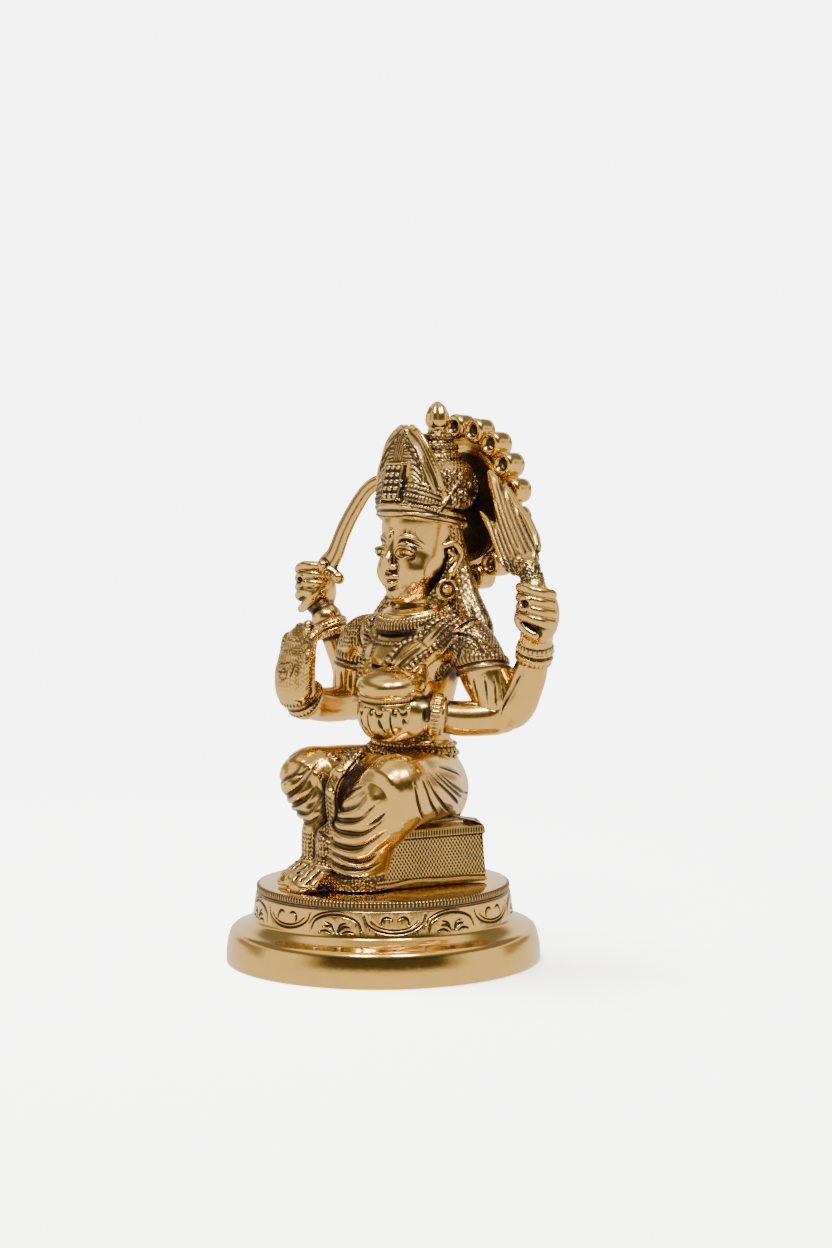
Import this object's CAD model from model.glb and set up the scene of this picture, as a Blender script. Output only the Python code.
"""A seated goddess in cast brass on a round turned plinth: her sculpted pieces, finish, floor and light."""

import time
from concurrent.futures import ThreadPoolExecutor
from math import atan2, cos, exp, hypot, pi, radians, sin, sqrt

import bmesh
import bpy
import numpy as np
from bpy.props import FloatProperty, FloatVectorProperty, PointerProperty
from mathutils import Matrix, Vector


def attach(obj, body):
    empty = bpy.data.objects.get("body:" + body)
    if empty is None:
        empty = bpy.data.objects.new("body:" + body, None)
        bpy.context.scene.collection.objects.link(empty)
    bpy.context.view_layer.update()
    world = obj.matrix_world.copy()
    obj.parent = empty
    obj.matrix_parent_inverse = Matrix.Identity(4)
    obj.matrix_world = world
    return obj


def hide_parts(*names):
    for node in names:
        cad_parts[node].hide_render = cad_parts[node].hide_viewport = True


bl_info = {
    "name": "Seated goddess in brass",
    "version": (1, 0, 0),
    "blender": (4, 5, 0),
    "location": "3D View > Sidebar > Goddess",
    "description": "Builds a cast brass seated figure on its plinth, with its finish, floor and lights",
    "category": "Object",
}

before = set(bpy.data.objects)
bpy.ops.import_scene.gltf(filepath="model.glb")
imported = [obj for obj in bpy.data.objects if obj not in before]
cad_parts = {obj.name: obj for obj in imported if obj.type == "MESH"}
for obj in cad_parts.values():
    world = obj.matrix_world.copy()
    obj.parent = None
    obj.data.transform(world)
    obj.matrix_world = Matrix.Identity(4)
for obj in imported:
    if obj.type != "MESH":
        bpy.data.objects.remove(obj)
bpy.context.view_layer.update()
MM = 0.001

# Sizes in millimetres. The figure faces -Y and her left side is +X
PLINTH = {"foot": 42.5, "rim": 41.4, "rim_height": 8.2, "step": 36.2, "step_height": 10.8,
          "drum_foot": 35.3, "drum_top": 34.2, "height": 20.9}
FLOOR = PLINTH["height"] + 0.3
SCROLLS, MILLS = 7, 216
SEAT = {"front": -12.0, "back": 18.0, "front_half": 13.0, "back_half": 22.0, "top": 36.6}
KNEE = {"x": 16.5, "y": -9.5, "z": 47.0}
HEAD = {"y": 14.6, "z": 108.0, "half": 10.3, "depth": 11.3}
CROWN = {"y": 15.1, "radius": 12.3, "low": 117.5, "high": 121.0, "peak": 143.8, "tilt": -2.1}
HALO = {"z": 122.5, "front": 27.4, "back": 33.8, "ring": 21.3, "lobe": 3.6, "lobes": 18}
BOWL = {"x": 6.5, "y": -2.5, "low": 60.4, "rim": 72.6, "radius": 9.7, "mouth": 8.2, "lean": 0.16,
        "roll": 0.08}
TRIDENT = {"foot": (41.6, 14.2, 102.4), "tip": (17.2, 24.4, 131.4), "facing": (0.5, -0.86, 0.0)}
# The most triangles that a piece keeps, in thousands
MOST = {"skirt_and_legs": 135, "torso_and_sleeves": 135, "crown": 115, "head_and_ear_discs": 80, "hair": 45,
        "plinth_turned": 100, "left_forearms_and_hands": 62, "right_forearms_and_hands": 66,
        "bowl_and_offering": 45,
        "feet_and_anklets": 38, "seat_block": 60, "trident": 32, "sword": 18, "halo_disc": 22}
TO_CAMERA = (0.731, -0.682)
VIEW_RIGHT = np.array((0.682, 0.731, 0.0), np.float32)


def smooth(t):
    return t * t * (3 - 2 * t)


def ramp(value, start, end):
    return smooth(np.clip((value - start) / (end - start), 0, 1))


# Clay: a form is held as distances on a grid of cells, and its skin becomes a mesh

BLOCK = 4
FAR = 6.0
NEAR = 2.2


class Clay:
    """A block of space whose cells hold the distance to the skin of a form and how dark the skin is."""

    def __init__(self, low, high, cell):
        self.cell = cell
        self.low = np.array(low, np.float32)
        self.blocks = np.ceil((np.array(high) - self.low) / (cell * BLOCK)).astype(int)
        shape = (*self.blocks, BLOCK, BLOCK, BLOCK)
        self.depth = np.full(shape, FAR, np.float32)
        self.ink = np.zeros(shape, np.float32)
        self.reset_steps()
        steps = np.arange(BLOCK, dtype=np.float32) * cell
        self.offsets = np.stack(np.meshgrid(steps, steps, steps, indexing="ij"), -1).reshape(1, -1, 3)

    def reset_steps(self):
        inner = (BLOCK * BLOCK, BLOCK, 1)
        across = (int(self.blocks[1] * self.blocks[2]), int(self.blocks[2]), 1)
        self.steps = []
        for axis in range(3):
            i = np.arange(self.blocks[axis] * BLOCK)
            self.steps.append((i // BLOCK) * across[axis] * BLOCK ** 3 + (i % BLOCK) * inner[axis])

    def window(self, low, high):
        size = self.cell * BLOCK
        start = np.clip(np.floor((np.array(low) - self.low) / size).astype(int), 0, self.blocks)
        stop = np.clip(np.ceil((np.array(high) - self.low) / size).astype(int), 0, self.blocks)
        spans = [np.arange(a, b) for a, b in zip(start, stop)]
        return np.stack(np.meshgrid(*spans, indexing="ij"), -1).reshape(-1, 3)

    def places(self, blocks):
        corners = self.low + blocks.astype(np.float32) * np.float32(self.cell * BLOCK)
        return (corners[:, None, :] + self.offsets).reshape(-1, 3)

    def measure(self, form):
        blocks = self.window(form.low - NEAR, form.high + NEAR)
        middle = self.low + (blocks * BLOCK + 1.5) * np.float32(self.cell)
        rough = form(middle.astype(np.float32))[0]
        near = np.abs(rough) < NEAR + self.cell * BLOCK
        depth, ink = form(self.places(blocks[near]))
        return form, blocks, rough, near, depth, ink

    def join(self, forms):
        """Adds each form to the clay, or cuts it away where its cut is set."""
        with ThreadPoolExecutor(4) as workers:
            for form, blocks, rough, near, depth, ink in workers.map(self.measure, forms):
                outer = tuple(blocks[~near].T)
                inner = tuple(blocks[near].T)
                here = self.depth[inner]
                there = depth.reshape(here.shape)
                sign = -1.0 if form.cut else 1.0
                rough = rough[~near][:, None, None, None]
                self.depth[outer] = sign * np.minimum(sign * self.depth[outer], rough)
                here = here * sign
                share = np.clip(0.5 + 0.5 * (here - there) / form.blend, 0, 1)
                blended = here + (there - here) * share - form.blend * share * (1 - share)
                self.depth[inner] = blended * sign
                if not np.isscalar(ink):
                    ink = ink.reshape(here.shape)
                self.ink[inner] = self.ink[inner] * (1 - share) + ink * share

    def press(self, low, high, shape, thick=1.7):
        """Raises or sinks the skin within a box by shape(places), which gives the rise and the ink."""
        blocks = self.window(low, high)
        middle = self.depth[tuple(blocks.T)][:, 1, 1, 1]
        inner = tuple(blocks[np.abs(middle) < thick + self.cell * 2].T)
        near = np.stack(inner, 1)
        rise, ink = shape(self.places(near))
        here = self.depth[inner].shape
        self.depth[inner] -= rise.reshape(here)
        self.ink[inner] = np.maximum(self.ink[inner], ink.reshape(here))

    def solid(self, grid):
        size = self.blocks * BLOCK
        return np.ascontiguousarray(grid.transpose(0, 3, 1, 4, 2, 5).reshape(size))

    def sample(self, grid, places):
        """The value of a grid at places, taken evenly between its cells."""
        at = (places - self.low) / self.cell
        at = np.clip(at, 0, self.blocks * BLOCK - 1.001)
        base = at.astype(np.int32)
        part = (at - base).astype(np.float32)
        flat = grid.reshape(-1)
        spots = [[steps[base[:, k]], steps[base[:, k] + 1]] for k, steps in enumerate(self.steps)]
        shares = [[1 - part[:, k], part[:, k]] for k in range(3)]
        total = 0.0
        for i in (0, 1):
            for j in (0, 1):
                pair = spots[0][i] + spots[1][j]
                weight = shares[0][i] * shares[1][j]
                for k in (0, 1):
                    total = total + weight * shares[2][k] * flat[pair + spots[2][k]]
        return total

    def normals(self, places):
        step = self.cell * 0.7
        slopes = []
        for axis in range(3):
            shift = np.zeros(3, np.float32)
            shift[axis] = step
            ahead = self.sample(self.depth, places + shift)
            slopes.append(ahead - self.sample(self.depth, places - shift))
        slope = np.stack(slopes, 1)
        length = np.linalg.norm(slope, axis=1, keepdims=True)
        return slope / np.maximum(length, 1e-6), length[:, 0] / (2 * step)

    def settle(self, places):
        """Moves places onto the skin."""
        places = np.array(places, np.float32)
        for _ in range(8):
            normal, slope = self.normals(places)
            depth = self.sample(self.depth, places) / np.maximum(slope, 0.5)
            places = places - normal * np.clip(depth, -1, 1)[:, None]
        return places

    def stroke(self, points, width, rise, ink=0.0, pitch=0.0, slant=0.0, taper=0.0, flat=False, soft=False):
        """A raised or sunk line on the skin. A pitch breaks it into beads, or strands if it slants."""
        line = self.settle(thread(points, 6).astype(np.float32))
        for _ in range(5):
            line[1:-1] = line[1:-1] * 0.5 + (line[:-2] + line[2:]) * 0.25
        normal = self.normals(line)[0]
        side = np.cross(np.gradient(line, axis=0), normal)
        side /= np.maximum(np.linalg.norm(side, axis=1, keepdims=True), 1e-6)
        reach = width * 2.2 + 0.3
        blocks = self.window(line.min(0) - reach, line.max(0) + reach)
        middle = self.low + (blocks * BLOCK + 1.5) * np.float32(self.cell)
        size = self.cell * BLOCK
        near = line_place(middle.astype(np.float32), line)[0] < reach + 2.2 + size
        near &= np.abs(self.depth[tuple(blocks.T)][:, 1, 1, 1]) < 1.4 + size
        blocks = blocks[near]
        if not len(blocks):
            return
        inner = tuple(blocks.T)
        places = self.places(blocks)
        here = self.depth[inner]
        far, run, at, rel = line_place(places, line)
        across = np.einsum("ij,ij->i", rel, side[np.round(at).astype(int)])
        off = np.sqrt(np.maximum(far ** 2 - here.reshape(-1) ** 2, 0))
        share = at / (len(line) - 1)
        if taper:
            wide = width * np.clip(np.minimum(share, 1 - share) / taper, 0.05, 1) ** 0.6
        else:
            wide = width
        if flat:
            form = 1 - ramp(off / wide, 0.7, 1.1)
        elif rise > 0 and not soft:
            form = np.sqrt(np.maximum(0, 1 - (off / wide) ** 2))
        else:
            form = np.exp(-(off / wide * 1.4) ** 2)
        if taper:
            form = form * np.clip(wide / width, 0, 1)
        dark = form
        if pitch:
            wave = 0.5 + 0.5 * np.cos((run + slant * across) * (2 * pi / pitch))
            dark = np.where(off < wide, 1 - wave, 0)
            form = form * (0.25 + 0.75 * np.sqrt(wave))
        self.depth[inner] -= (rise * form).reshape(here.shape)
        self.ink[inner] = np.maximum(self.ink[inner], (ink * dark).reshape(here.shape))

    def skin(self):
        """The skin's corners, its faces of four, and the marks of its corners."""
        grid = self.solid(self.depth)
        grid[0], grid[-1] = FAR, FAR
        grid[:, 0], grid[:, -1] = FAR, FAR
        grid[:, :, 0], grid[:, :, -1] = FAR, FAR
        shape = [n for size in self.blocks for n in (size, BLOCK)]
        self.depth = np.ascontiguousarray(grid.reshape(shape).transpose(0, 2, 4, 1, 3, 5))
        full = grid < 0
        count = full.astype(np.uint8)
        for axis in range(3):
            first = [slice(None)] * 3
            second = [slice(None)] * 3
            first[axis], second[axis] = slice(None, -1), slice(1, None)
            count = count[tuple(first)] + count[tuple(second)]
        cells = np.flatnonzero((count > 0) & (count < 8))
        index = np.full(count.size, -1, np.int32)
        index[cells] = np.arange(len(cells), dtype=np.int32)
        index = index.reshape(count.shape)
        base = np.stack(np.unravel_index(cells, count.shape), 1)
        total = np.zeros((len(cells), 3), np.float32)
        hits = np.zeros(len(cells), np.float32)
        for axis in range(3):
            others = [a for a in range(3) if a != axis]
            for i in (0, 1):
                for j in (0, 1):
                    corner = np.zeros(3, int)
                    corner[others[0]], corner[others[1]] = i, j
                    start = base + corner
                    end = start.copy()
                    end[:, axis] += 1
                    a = grid[tuple(start.T)]
                    b = grid[tuple(end.T)]
                    cross = (a < 0) != (b < 0)
                    share = a[cross] / (a[cross] - b[cross])
                    total[cross] += corner
                    total[cross, axis] += share
                    hits += cross
        corners = (base + total / hits[:, None]) * self.cell + self.low
        faces = []
        for axis in range(3):
            one, two = [(1, 2), (2, 0), (0, 1)][axis]
            lower = [slice(1, -1)] * 3
            upper = [slice(1, -1)] * 3
            lower[axis], upper[axis] = slice(0, -1), slice(1, None)
            for outward in (True, False):
                a, b = full[tuple(lower)], full[tuple(upper)]
                at = np.stack(np.nonzero(a & ~b if outward else ~a & b), 1)
                at += np.array([0 if k == axis else 1 for k in range(3)])
                ring = []
                for i, j in ((1, 1), (0, 1), (0, 0), (1, 0)):
                    cell = at.copy()
                    cell[:, one] -= i
                    cell[:, two] -= j
                    ring.append(index[tuple(cell.T)])
                ring = np.stack(ring, 1)
                faces.append(ring if outward else ring[:, ::-1])
        faces = np.concatenate(faces)
        ends = np.concatenate([faces[:, [k, (k + 1) % 4]] for k in range(4)])
        ends = np.concatenate([ends, ends[:, ::-1]])
        degree = np.bincount(ends[:, 0], minlength=len(corners))[:, None]
        for _ in range(3):
            mean = [np.bincount(ends[:, 0], corners[ends[:, 1], k], len(corners)) for k in range(3)]
            corners = (corners * 0.5 + np.stack(mean, 1) / degree * 0.5).astype(np.float32)
            normal, slope = self.normals(corners)
            depth = self.sample(self.depth, corners) / np.maximum(slope, 0.5)
            corners = corners - normal * np.clip(depth, -0.2, 0.2)[:, None]
        normal, _ = self.normals(corners)
        hollow = 0.0
        for reach, share in ((0.5, 0.35), (1.0, 0.3), (2.0, 0.25), (4.0, 0.3)):
            room = self.sample(self.depth, corners + normal * reach) / reach
            hollow = hollow + share * (1 - np.clip(room, 0, 1))
        ridge = 1 + np.clip(self.sample(self.depth, corners - normal * 0.8) / 0.8, -1, 0)
        ink = self.sample(self.ink, corners)
        return corners, [faces], {"hollow": hollow, "ridge": ridge, "ink": ink}


def thread(points, per=8):
    """Places along a smooth curve through the points."""
    points = np.array(points, float)
    p = np.vstack([2 * points[0] - points[1], points, 2 * points[-1] - points[-2]])
    s = np.linspace(0, 1, per + 1)[:, None]
    rows = []
    for i in range(len(points) - 1):
        a, b, c, d = p[i:i + 4]
        before, within, after = (max(np.linalg.norm(v), 1e-4) ** 0.5 for v in (b - a, c - b, d - c))
        start = ((b - a) / before - (c - a) / (before + within) + (c - b) / within) * within
        end = ((c - b) / within - (d - b) / (within + after) + (d - c) / after) * within
        hermite = (2 * s ** 3 - 3 * s ** 2 + 1) * b + (s ** 3 - 2 * s ** 2 + s) * start
        hermite = hermite + (3 * s ** 2 - 2 * s ** 3) * c + (s ** 3 - s ** 2) * end
        rows.append(hermite if i == len(points) - 2 else hermite[:-1])
    return np.vstack(rows)


def line_place(p, line):
    """Each place's distance from a line, how far along it that is, at which corner, and the way there."""
    best = np.full(len(p), 1e9, np.float32)
    run = np.zeros(len(p), np.float32)
    at = np.zeros(len(p), np.float32)
    way = np.zeros_like(p)
    passed = 0.0
    for i in range(len(line) - 1):
        edge = line[i + 1] - line[i]
        length = float(np.linalg.norm(edge))
        rel = p - line[i]
        share = np.clip(rel @ edge / max(length * length, 1e-9), 0, 1)
        off = rel - share[:, None] * edge
        far = np.einsum("ij,ij->i", off, off)
        nearer = far < best
        best[nearer] = far[nearer]
        at[nearer] = i + share[nearer]
        run[nearer] = passed + share[nearer] * length
        way[nearer] = off[nearer]
        passed += length
    return np.sqrt(best), run, at, way


def unit(vector):
    vector = np.array(vector, float)
    return vector / np.linalg.norm(vector)


class Limb:
    """A swept oval. Its stops hold x, y, z, half width and flatness; turn is counted from its wide side."""

    def __init__(self, stops, wide=(1, 0, 0), blend=0.8, fold=None, cut=False, square=False, ink=0.0,
            per=8):
        self.line = thread([s[:3] for s in stops], per).astype(np.float32)
        span = len(stops) - 1
        at = np.linspace(0, span, len(self.line))
        i = np.minimum(at.astype(int), span - 1)
        share = smooth(at - i)[:, None]
        sizes = np.array([(s[3], s[4] if len(s) > 4 else 1.0) for s in stops])
        sizes = sizes[i] * (1 - share) + sizes[i + 1] * share
        along = np.gradient(self.line, axis=0)
        along /= np.linalg.norm(along, axis=1, keepdims=True)
        wide = np.array(wide, float) + (0.001, 0.013, 0.009)
        side = wide - along * (along @ wide)[:, None]
        side /= np.linalg.norm(side, axis=1, keepdims=True)
        front = np.cross(along, side)
        self.table = np.hstack([self.line, side, front, along, sizes]).astype(np.float32)
        reach = (sizes[:, 0] * np.maximum(1, sizes[:, 1])).max()
        self.low, self.high = self.line.min(0) - reach, self.line.max(0) + reach
        self.blend, self.fold, self.cut, self.square, self.dark = blend, fold, cut, square, ink

    def locate(self, p):
        """Each place's turn about the limb, its share of the length, and how far across and along it is."""
        at = line_place(p, self.line)[2]
        i = np.minimum(at.astype(np.int32), len(self.line) - 2)
        share = (at - i)[:, None]
        row = self.table[i] * (1 - share) + self.table[i + 1] * share
        rel = p - row[:, 0:3]
        u, v, w = (np.einsum("ij,ij->i", rel, row[:, k:k + 3]) for k in (3, 6, 9))
        wide = row[:, 12]
        thick = wide * row[:, 13]
        return np.arctan2(v / thick, u / wide), at / (len(self.line) - 1), (u, v, w), (wide, thick)

    def row_at(self, share):
        at = share * (len(self.table) - 1)
        return np.array([np.interp(at, np.arange(len(self.table)), column) for column in self.table.T])

    def radius_at(self, share):
        return self.row_at(share)[12]

    def hoop(self, share, grow, count):
        """Points round the limb at a share of its length."""
        row = self.row_at(share)
        wide, thick = row[12] * grow, row[12] * row[13] * grow
        turns = np.linspace(0, 2 * pi, count)
        return [tuple(row[0:3] + row[3:6] * cos(a) * wide + row[6:9] * sin(a) * thick) for a in turns]

    def __call__(self, p):
        turn, share, (u, v, w), (wide, thick) = self.locate(p)
        end = 0 if self.square else w
        size = np.sqrt((u / wide) ** 2 + (v / thick) ** 2 + (end / wide) ** 2)
        slope = np.sqrt((u / wide ** 2) ** 2 + (v / thick ** 2) ** 2 + (end / wide ** 2) ** 2)
        depth = size * (size - 1) / np.maximum(slope, 1e-5)
        depth = np.where(size < 0.05, -np.minimum(wide, thick), depth)
        if self.square:
            depth = np.maximum(depth, np.abs(w) - 0.05)
        ink = np.full(len(p), self.dark, np.float32)
        if self.fold:
            rise, ink = self.fold(turn, share, p)
            depth = depth - rise
        return depth.astype(np.float32), ink


class Stack:
    """A body of level ovals. A section holds z, x, y, half width, half depth and perhaps another behind."""

    def __init__(self, sections, tilt=0.0, power=2.0, soft=1.0, blend=0.8, fold=None, cut=False):
        table = np.array([(*s, s[4])[:6] for s in sections], float)
        self.z = np.arange(table[0, 0] - 3 * soft, table[-1, 0] + 3 * soft, 0.1)
        kernel = np.exp(-(np.arange(-2.5 * soft, 2.5 * soft + 0.05, 0.1) / soft) ** 2)
        kernel /= kernel.sum()
        self.values = []
        for k in range(1, 6):
            line = np.interp(self.z, table[:, 0], table[:, k])
            pad = len(kernel) // 2
            self.values.append(np.convolve(np.pad(line, pad, mode="edge"), kernel, "valid")[:len(self.z)])
        self.slope = np.gradient((self.values[2] + self.values[3]) / 2, self.z)
        self.ends = table[0, 0], table[-1, 0]
        self.tilt = tilt / table[:, 4].mean()
        wide = table[:, 3].max() + 1
        deep = table[:, 4:].max() + 1
        drop = abs(tilt) + 0.5
        self.low = np.array((table[:, 1].min() - wide, table[:, 2].min() - deep, table[0, 0] - drop))
        self.high = np.array((table[:, 1].max() + wide, table[:, 2].max() + deep, table[-1, 0] + drop))
        self.middle = table[:, 2].mean()
        self.power, self.blend, self.fold, self.cut = power, blend, fold, cut

    def __call__(self, p):
        z = p[:, 2] - self.tilt * (p[:, 1] - self.middle)
        x, y, half, front, back = (np.interp(z, self.z, v).astype(np.float32) for v in self.values)
        u, v = p[:, 0] - x, p[:, 1] - y
        deep = np.where(v < 0, front, back)
        size = (np.abs(u / half) ** self.power + np.abs(v / deep) ** self.power) ** (1 / self.power)
        far = np.hypot(u, v)
        depth = far - far / np.maximum(size, 1e-4)
        depth = np.where(size < 1e-3, -np.minimum(half, deep), depth)
        depth = depth / np.sqrt(1 + np.interp(z, self.z, self.slope) ** 2)
        depth = np.maximum(depth, np.maximum(self.ends[0] - z, z - self.ends[1]))
        ink = np.zeros(len(p), np.float32)
        if self.fold:
            rise, ink = self.fold(np.arctan2(v / deep, u / half), z, p)
            depth = depth - rise
        return depth.astype(np.float32), ink


class Ball:
    """An egg form with its own half sizes, turned by a lean about X and a swing about Z."""

    def __init__(self, place, sizes, lean=0.0, swing=0.0, roll=0.0, blend=0.8, cut=False, ink=0.0):
        self.place = np.array(place, np.float32)
        self.sizes = np.array(sizes, np.float32) * np.ones(3, np.float32)
        a, b, c = lean, swing, roll
        about_x = np.array([[1, 0, 0], [0, cos(a), -sin(a)], [0, sin(a), cos(a)]])
        about_z = np.array([[cos(b), -sin(b), 0], [sin(b), cos(b), 0], [0, 0, 1]])
        about_y = np.array([[cos(c), 0, sin(c)], [0, 1, 0], [-sin(c), 0, cos(c)]])
        self.axes = (about_z @ about_y @ about_x).astype(np.float32)
        reach = self.sizes.max()
        self.low, self.high = self.place - reach, self.place + reach
        self.blend, self.cut, self.dark = blend, cut, ink

    def __call__(self, p):
        rel = (p - self.place) @ self.axes
        size = np.linalg.norm(rel / self.sizes, axis=1)
        slope = np.linalg.norm(rel / self.sizes ** 2, axis=1)
        depth = size * (size - 1) / np.maximum(slope, 1e-5)
        depth = np.where(size < 0.05, -self.sizes.min(), depth)
        return depth.astype(np.float32), np.full(len(p), self.dark, np.float32)


def outline_depth(x, y, corners):
    """Distance to a closed flat outline, less than nothing inside it."""
    best = np.full(x.shape, 1e9, np.float32)
    inside = np.zeros(x.shape, bool)
    for (ax, ay), (bx, by) in zip(corners, [*corners[1:], corners[0]]):
        ex, ey = bx - ax, by - ay
        wx, wy = x - ax, y - ay
        share = np.clip((wx * ex + wy * ey) / (ex * ex + ey * ey + 1e-12), 0, 1)
        best = np.minimum(best, (wx - ex * share) ** 2 + (wy - ey * share) ** 2)
        if ay != by:
            inside ^= ((ay > y) != (by > y)) & (x < (bx - ax) * (y - ay) / (by - ay) + ax)
    return np.where(inside, -1, 1) * np.sqrt(best)


class Turned:
    """A turned form: its profile holds radius and height about an axis through a place."""

    def __init__(self, profile, place, axis=(0, 0, 1), blend=0.3, cut=False, ink=0.0):
        self.profile = [(r if r > 0 else -4.0, z) for r, z in profile]
        self.place = np.array(place, np.float32)
        self.axis = unit(axis).astype(np.float32)
        reach = max(hypot(r, z) for r, z in profile)
        self.low, self.high = self.place - reach, self.place + reach
        self.blend, self.cut, self.dark = blend, cut, ink

    def __call__(self, p):
        rel = p - self.place
        height = rel @ self.axis
        radius = np.sqrt(np.maximum(np.einsum("ij,ij->i", rel, rel) - height ** 2, 0))
        depth = outline_depth(radius, height, self.profile)
        return depth.astype(np.float32), np.full(len(p), self.dark, np.float32)


class Plate:
    """A flat outline with thickness and softened edges, in its own right and up directions."""

    def __init__(self, outline, thickness, place, right, up, edge=0.4, blend=0.4, fold=None, cut=False):
        self.outline = [tuple(c) for c in outline]
        self.half, self.edge = thickness / 2, edge
        self.place = np.array(place, np.float32)
        across = unit(right)
        out = unit(np.cross(across, up))
        self.axes = np.stack([across, np.cross(out, across), out], 1).astype(np.float32)
        reach = max(hypot(x, y) for x, y in outline) + thickness
        self.low, self.high = self.place - reach, self.place + reach
        self.blend, self.fold, self.cut = blend, fold, cut

    def __call__(self, p):
        u, v, w = ((p - self.place) @ self.axes).T
        flat = outline_depth(u, v, self.outline) + self.edge
        thick = np.abs(w) - self.half + self.edge
        depth = np.minimum(np.maximum(flat, thick), 0) - self.edge
        depth = depth + np.hypot(np.maximum(flat, 0), np.maximum(thick, 0))
        ink = np.zeros(len(p), np.float32)
        if self.fold:
            rise, ink = self.fold(u, v, w)
            depth = depth - rise
        return depth.astype(np.float32), ink


# Meshes. The marks kept at their corners: how deep in a hollow, how ridged and how inked each is

MARKS = ("hollow", "ridge", "ink")


def make_object(name, corners, faces, marks, material):
    """A mesh object in metres at the origin, with its marks kept as values at its corners."""
    mesh = bpy.data.meshes.new(name)
    mesh.vertices.add(len(corners))
    mesh.vertices.foreach_set("co", (np.asarray(corners, np.float32) * MM).ravel())
    sizes = np.concatenate([np.full(len(group), group.shape[1]) for group in faces])
    loops = np.concatenate([group.ravel() for group in faces]).astype(np.int32)
    mesh.loops.add(len(loops))
    mesh.polygons.add(len(sizes))
    mesh.loops.foreach_set("vertex_index", loops)
    mesh.polygons.foreach_set("loop_start", np.concatenate([[0], np.cumsum(sizes)[:-1]]).astype(np.int32))
    mesh.polygons.foreach_set("use_smooth", np.ones(len(sizes), bool))
    mesh.update(calc_edges=True)
    mesh.validate()
    for key in MARKS:
        values = np.broadcast_to(np.asarray(marks.get(key, 0.0), np.float32), (len(corners),))
        layer = mesh.attributes.new(key, "FLOAT", "POINT")
        layer.data.foreach_set("value", np.ascontiguousarray(values))
    mesh.materials.append(material)
    obj = bpy.data.objects.new(name, mesh)
    bpy.context.scene.collection.objects.link(obj)
    return obj


def thinned(obj, limit):
    """Leaves a piece about so many triangles, taking away those where its form is plainest."""
    count = len(obj.data.loops) - 2 * len(obj.data.polygons)
    if count <= limit:
        return
    modifier = obj.modifiers.new("thin", "DECIMATE")
    modifier.ratio = limit / count
    graph = bpy.context.evaluated_depsgraph_get()
    plain = bpy.data.meshes.new_from_object(obj.evaluated_get(graph), preserve_all_data_layers=True,
        depsgraph=graph)
    obj.modifiers.remove(modifier)
    dense = obj.data
    obj.data = plain
    bpy.data.meshes.remove(dense)
    plain.name = obj.name


def finish_piece(obj, node):
    thinned(obj, MOST.get(obj.name, 60) * 1000)
    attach(obj, "root")
    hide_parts(node)
    print(obj.name, "triangles", sum(len(p.vertices) - 2 for p in obj.data.polygons))


def clay_piece(name, clay, material):
    finish_piece(make_object(name, *clay.skin(), material), "figure")


def closed_wall(rows, foot, top):
    """Corners and faces of a wall through rows of equally many places, closed to a place at each end."""
    rows = np.asarray(rows, np.float32)
    count, across = rows.shape[:2]
    index = np.arange(count * across).reshape(count, across)
    ahead = np.roll(index, -1, axis=1)
    wall = np.stack([index[:-1], ahead[:-1], ahead[1:], index[1:]], -1).reshape(-1, 4)
    end = np.full(across, count * across)
    low = np.stack([ahead[0], index[0], end], 1)
    high = np.stack([index[-1], ahead[-1], end + 1], 1)
    return np.vstack([rows.reshape(-1, 3), [foot, top]]), [wall, low, high]


def round_row(turns, radius, z):
    """A level row of places, one for each turn, at a radius that may differ from turn to turn."""
    return np.stack([radius * np.cos(turns), radius * np.sin(turns), np.full(len(turns), z)], 1)


# Shader maths: a signal is a socket that takes part in sums

class Signal:
    def __init__(self, shade, socket):
        self.shade, self.socket = shade, socket

    def math(self, operation, *others):
        return self.shade.signal("ShaderNodeMath", dict(enumerate([self, *others])), operation=operation)

    def __add__(self, other):
        return self.math("ADD", other)

    def __sub__(self, other):
        return self.math("SUBTRACT", other)

    def __rsub__(self, other):
        return self.math("MULTIPLY", -1.0).math("ADD", other)

    def __mul__(self, other):
        return self.math("MULTIPLY", other)

    __radd__ = __add__
    __rmul__ = __mul__

    def clamp(self):
        return self.math("MAXIMUM", 0.0).math("MINIMUM", 1.0)

    def ramp(self, start, end):
        return self.shade.signal("ShaderNodeMapRange", {"Value": self, "From Min": start, "From Max": end},
                                 interpolation_type="SMOOTHSTEP")


class Shade:
    """The node tree of a material or world, and the one way that its nodes are added."""

    def __init__(self, owner):
        owner.use_nodes = True
        self.tree = owner.node_tree
        self.tree.nodes.clear()

    def add(self, kind, inputs=None, **settings):
        """A node with its settings. An input is a signal or socket to link, or a plain value."""
        node = self.tree.nodes.new(kind)
        for key, value in settings.items():
            setattr(node, key, value)
        for key, value in (inputs or {}).items():
            if isinstance(value, Signal):
                value = value.socket
            if isinstance(value, bpy.types.NodeSocket):
                self.tree.links.new(value, node.inputs[key])
            else:
                node.inputs[key].default_value = value
        return node

    def signal(self, kind, inputs=None, output=0, **settings):
        return Signal(self, self.add(kind, inputs, **settings).outputs[output])

    def attribute(self, name):
        return self.signal("ShaderNodeAttribute", output="Fac", attribute_name=name)

    def noise(self, places, scale, detail=2.0, roughness=0.5):
        return self.signal("ShaderNodeTexNoise", {"Vector": places, "Scale": scale, "Detail": detail,
                                                  "Roughness": roughness}, output="Fac")

    def blend(self, share, first, second):
        return self.signal("ShaderNodeMix", {0: share, 6: first, 7: second}, output=2, data_type="RGBA",
                           clamp_factor=True)

    def finish(self, kind, shader):
        """Links the last shader to the tree's output."""
        self.add(kind, {0: shader.outputs[0]})


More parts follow.
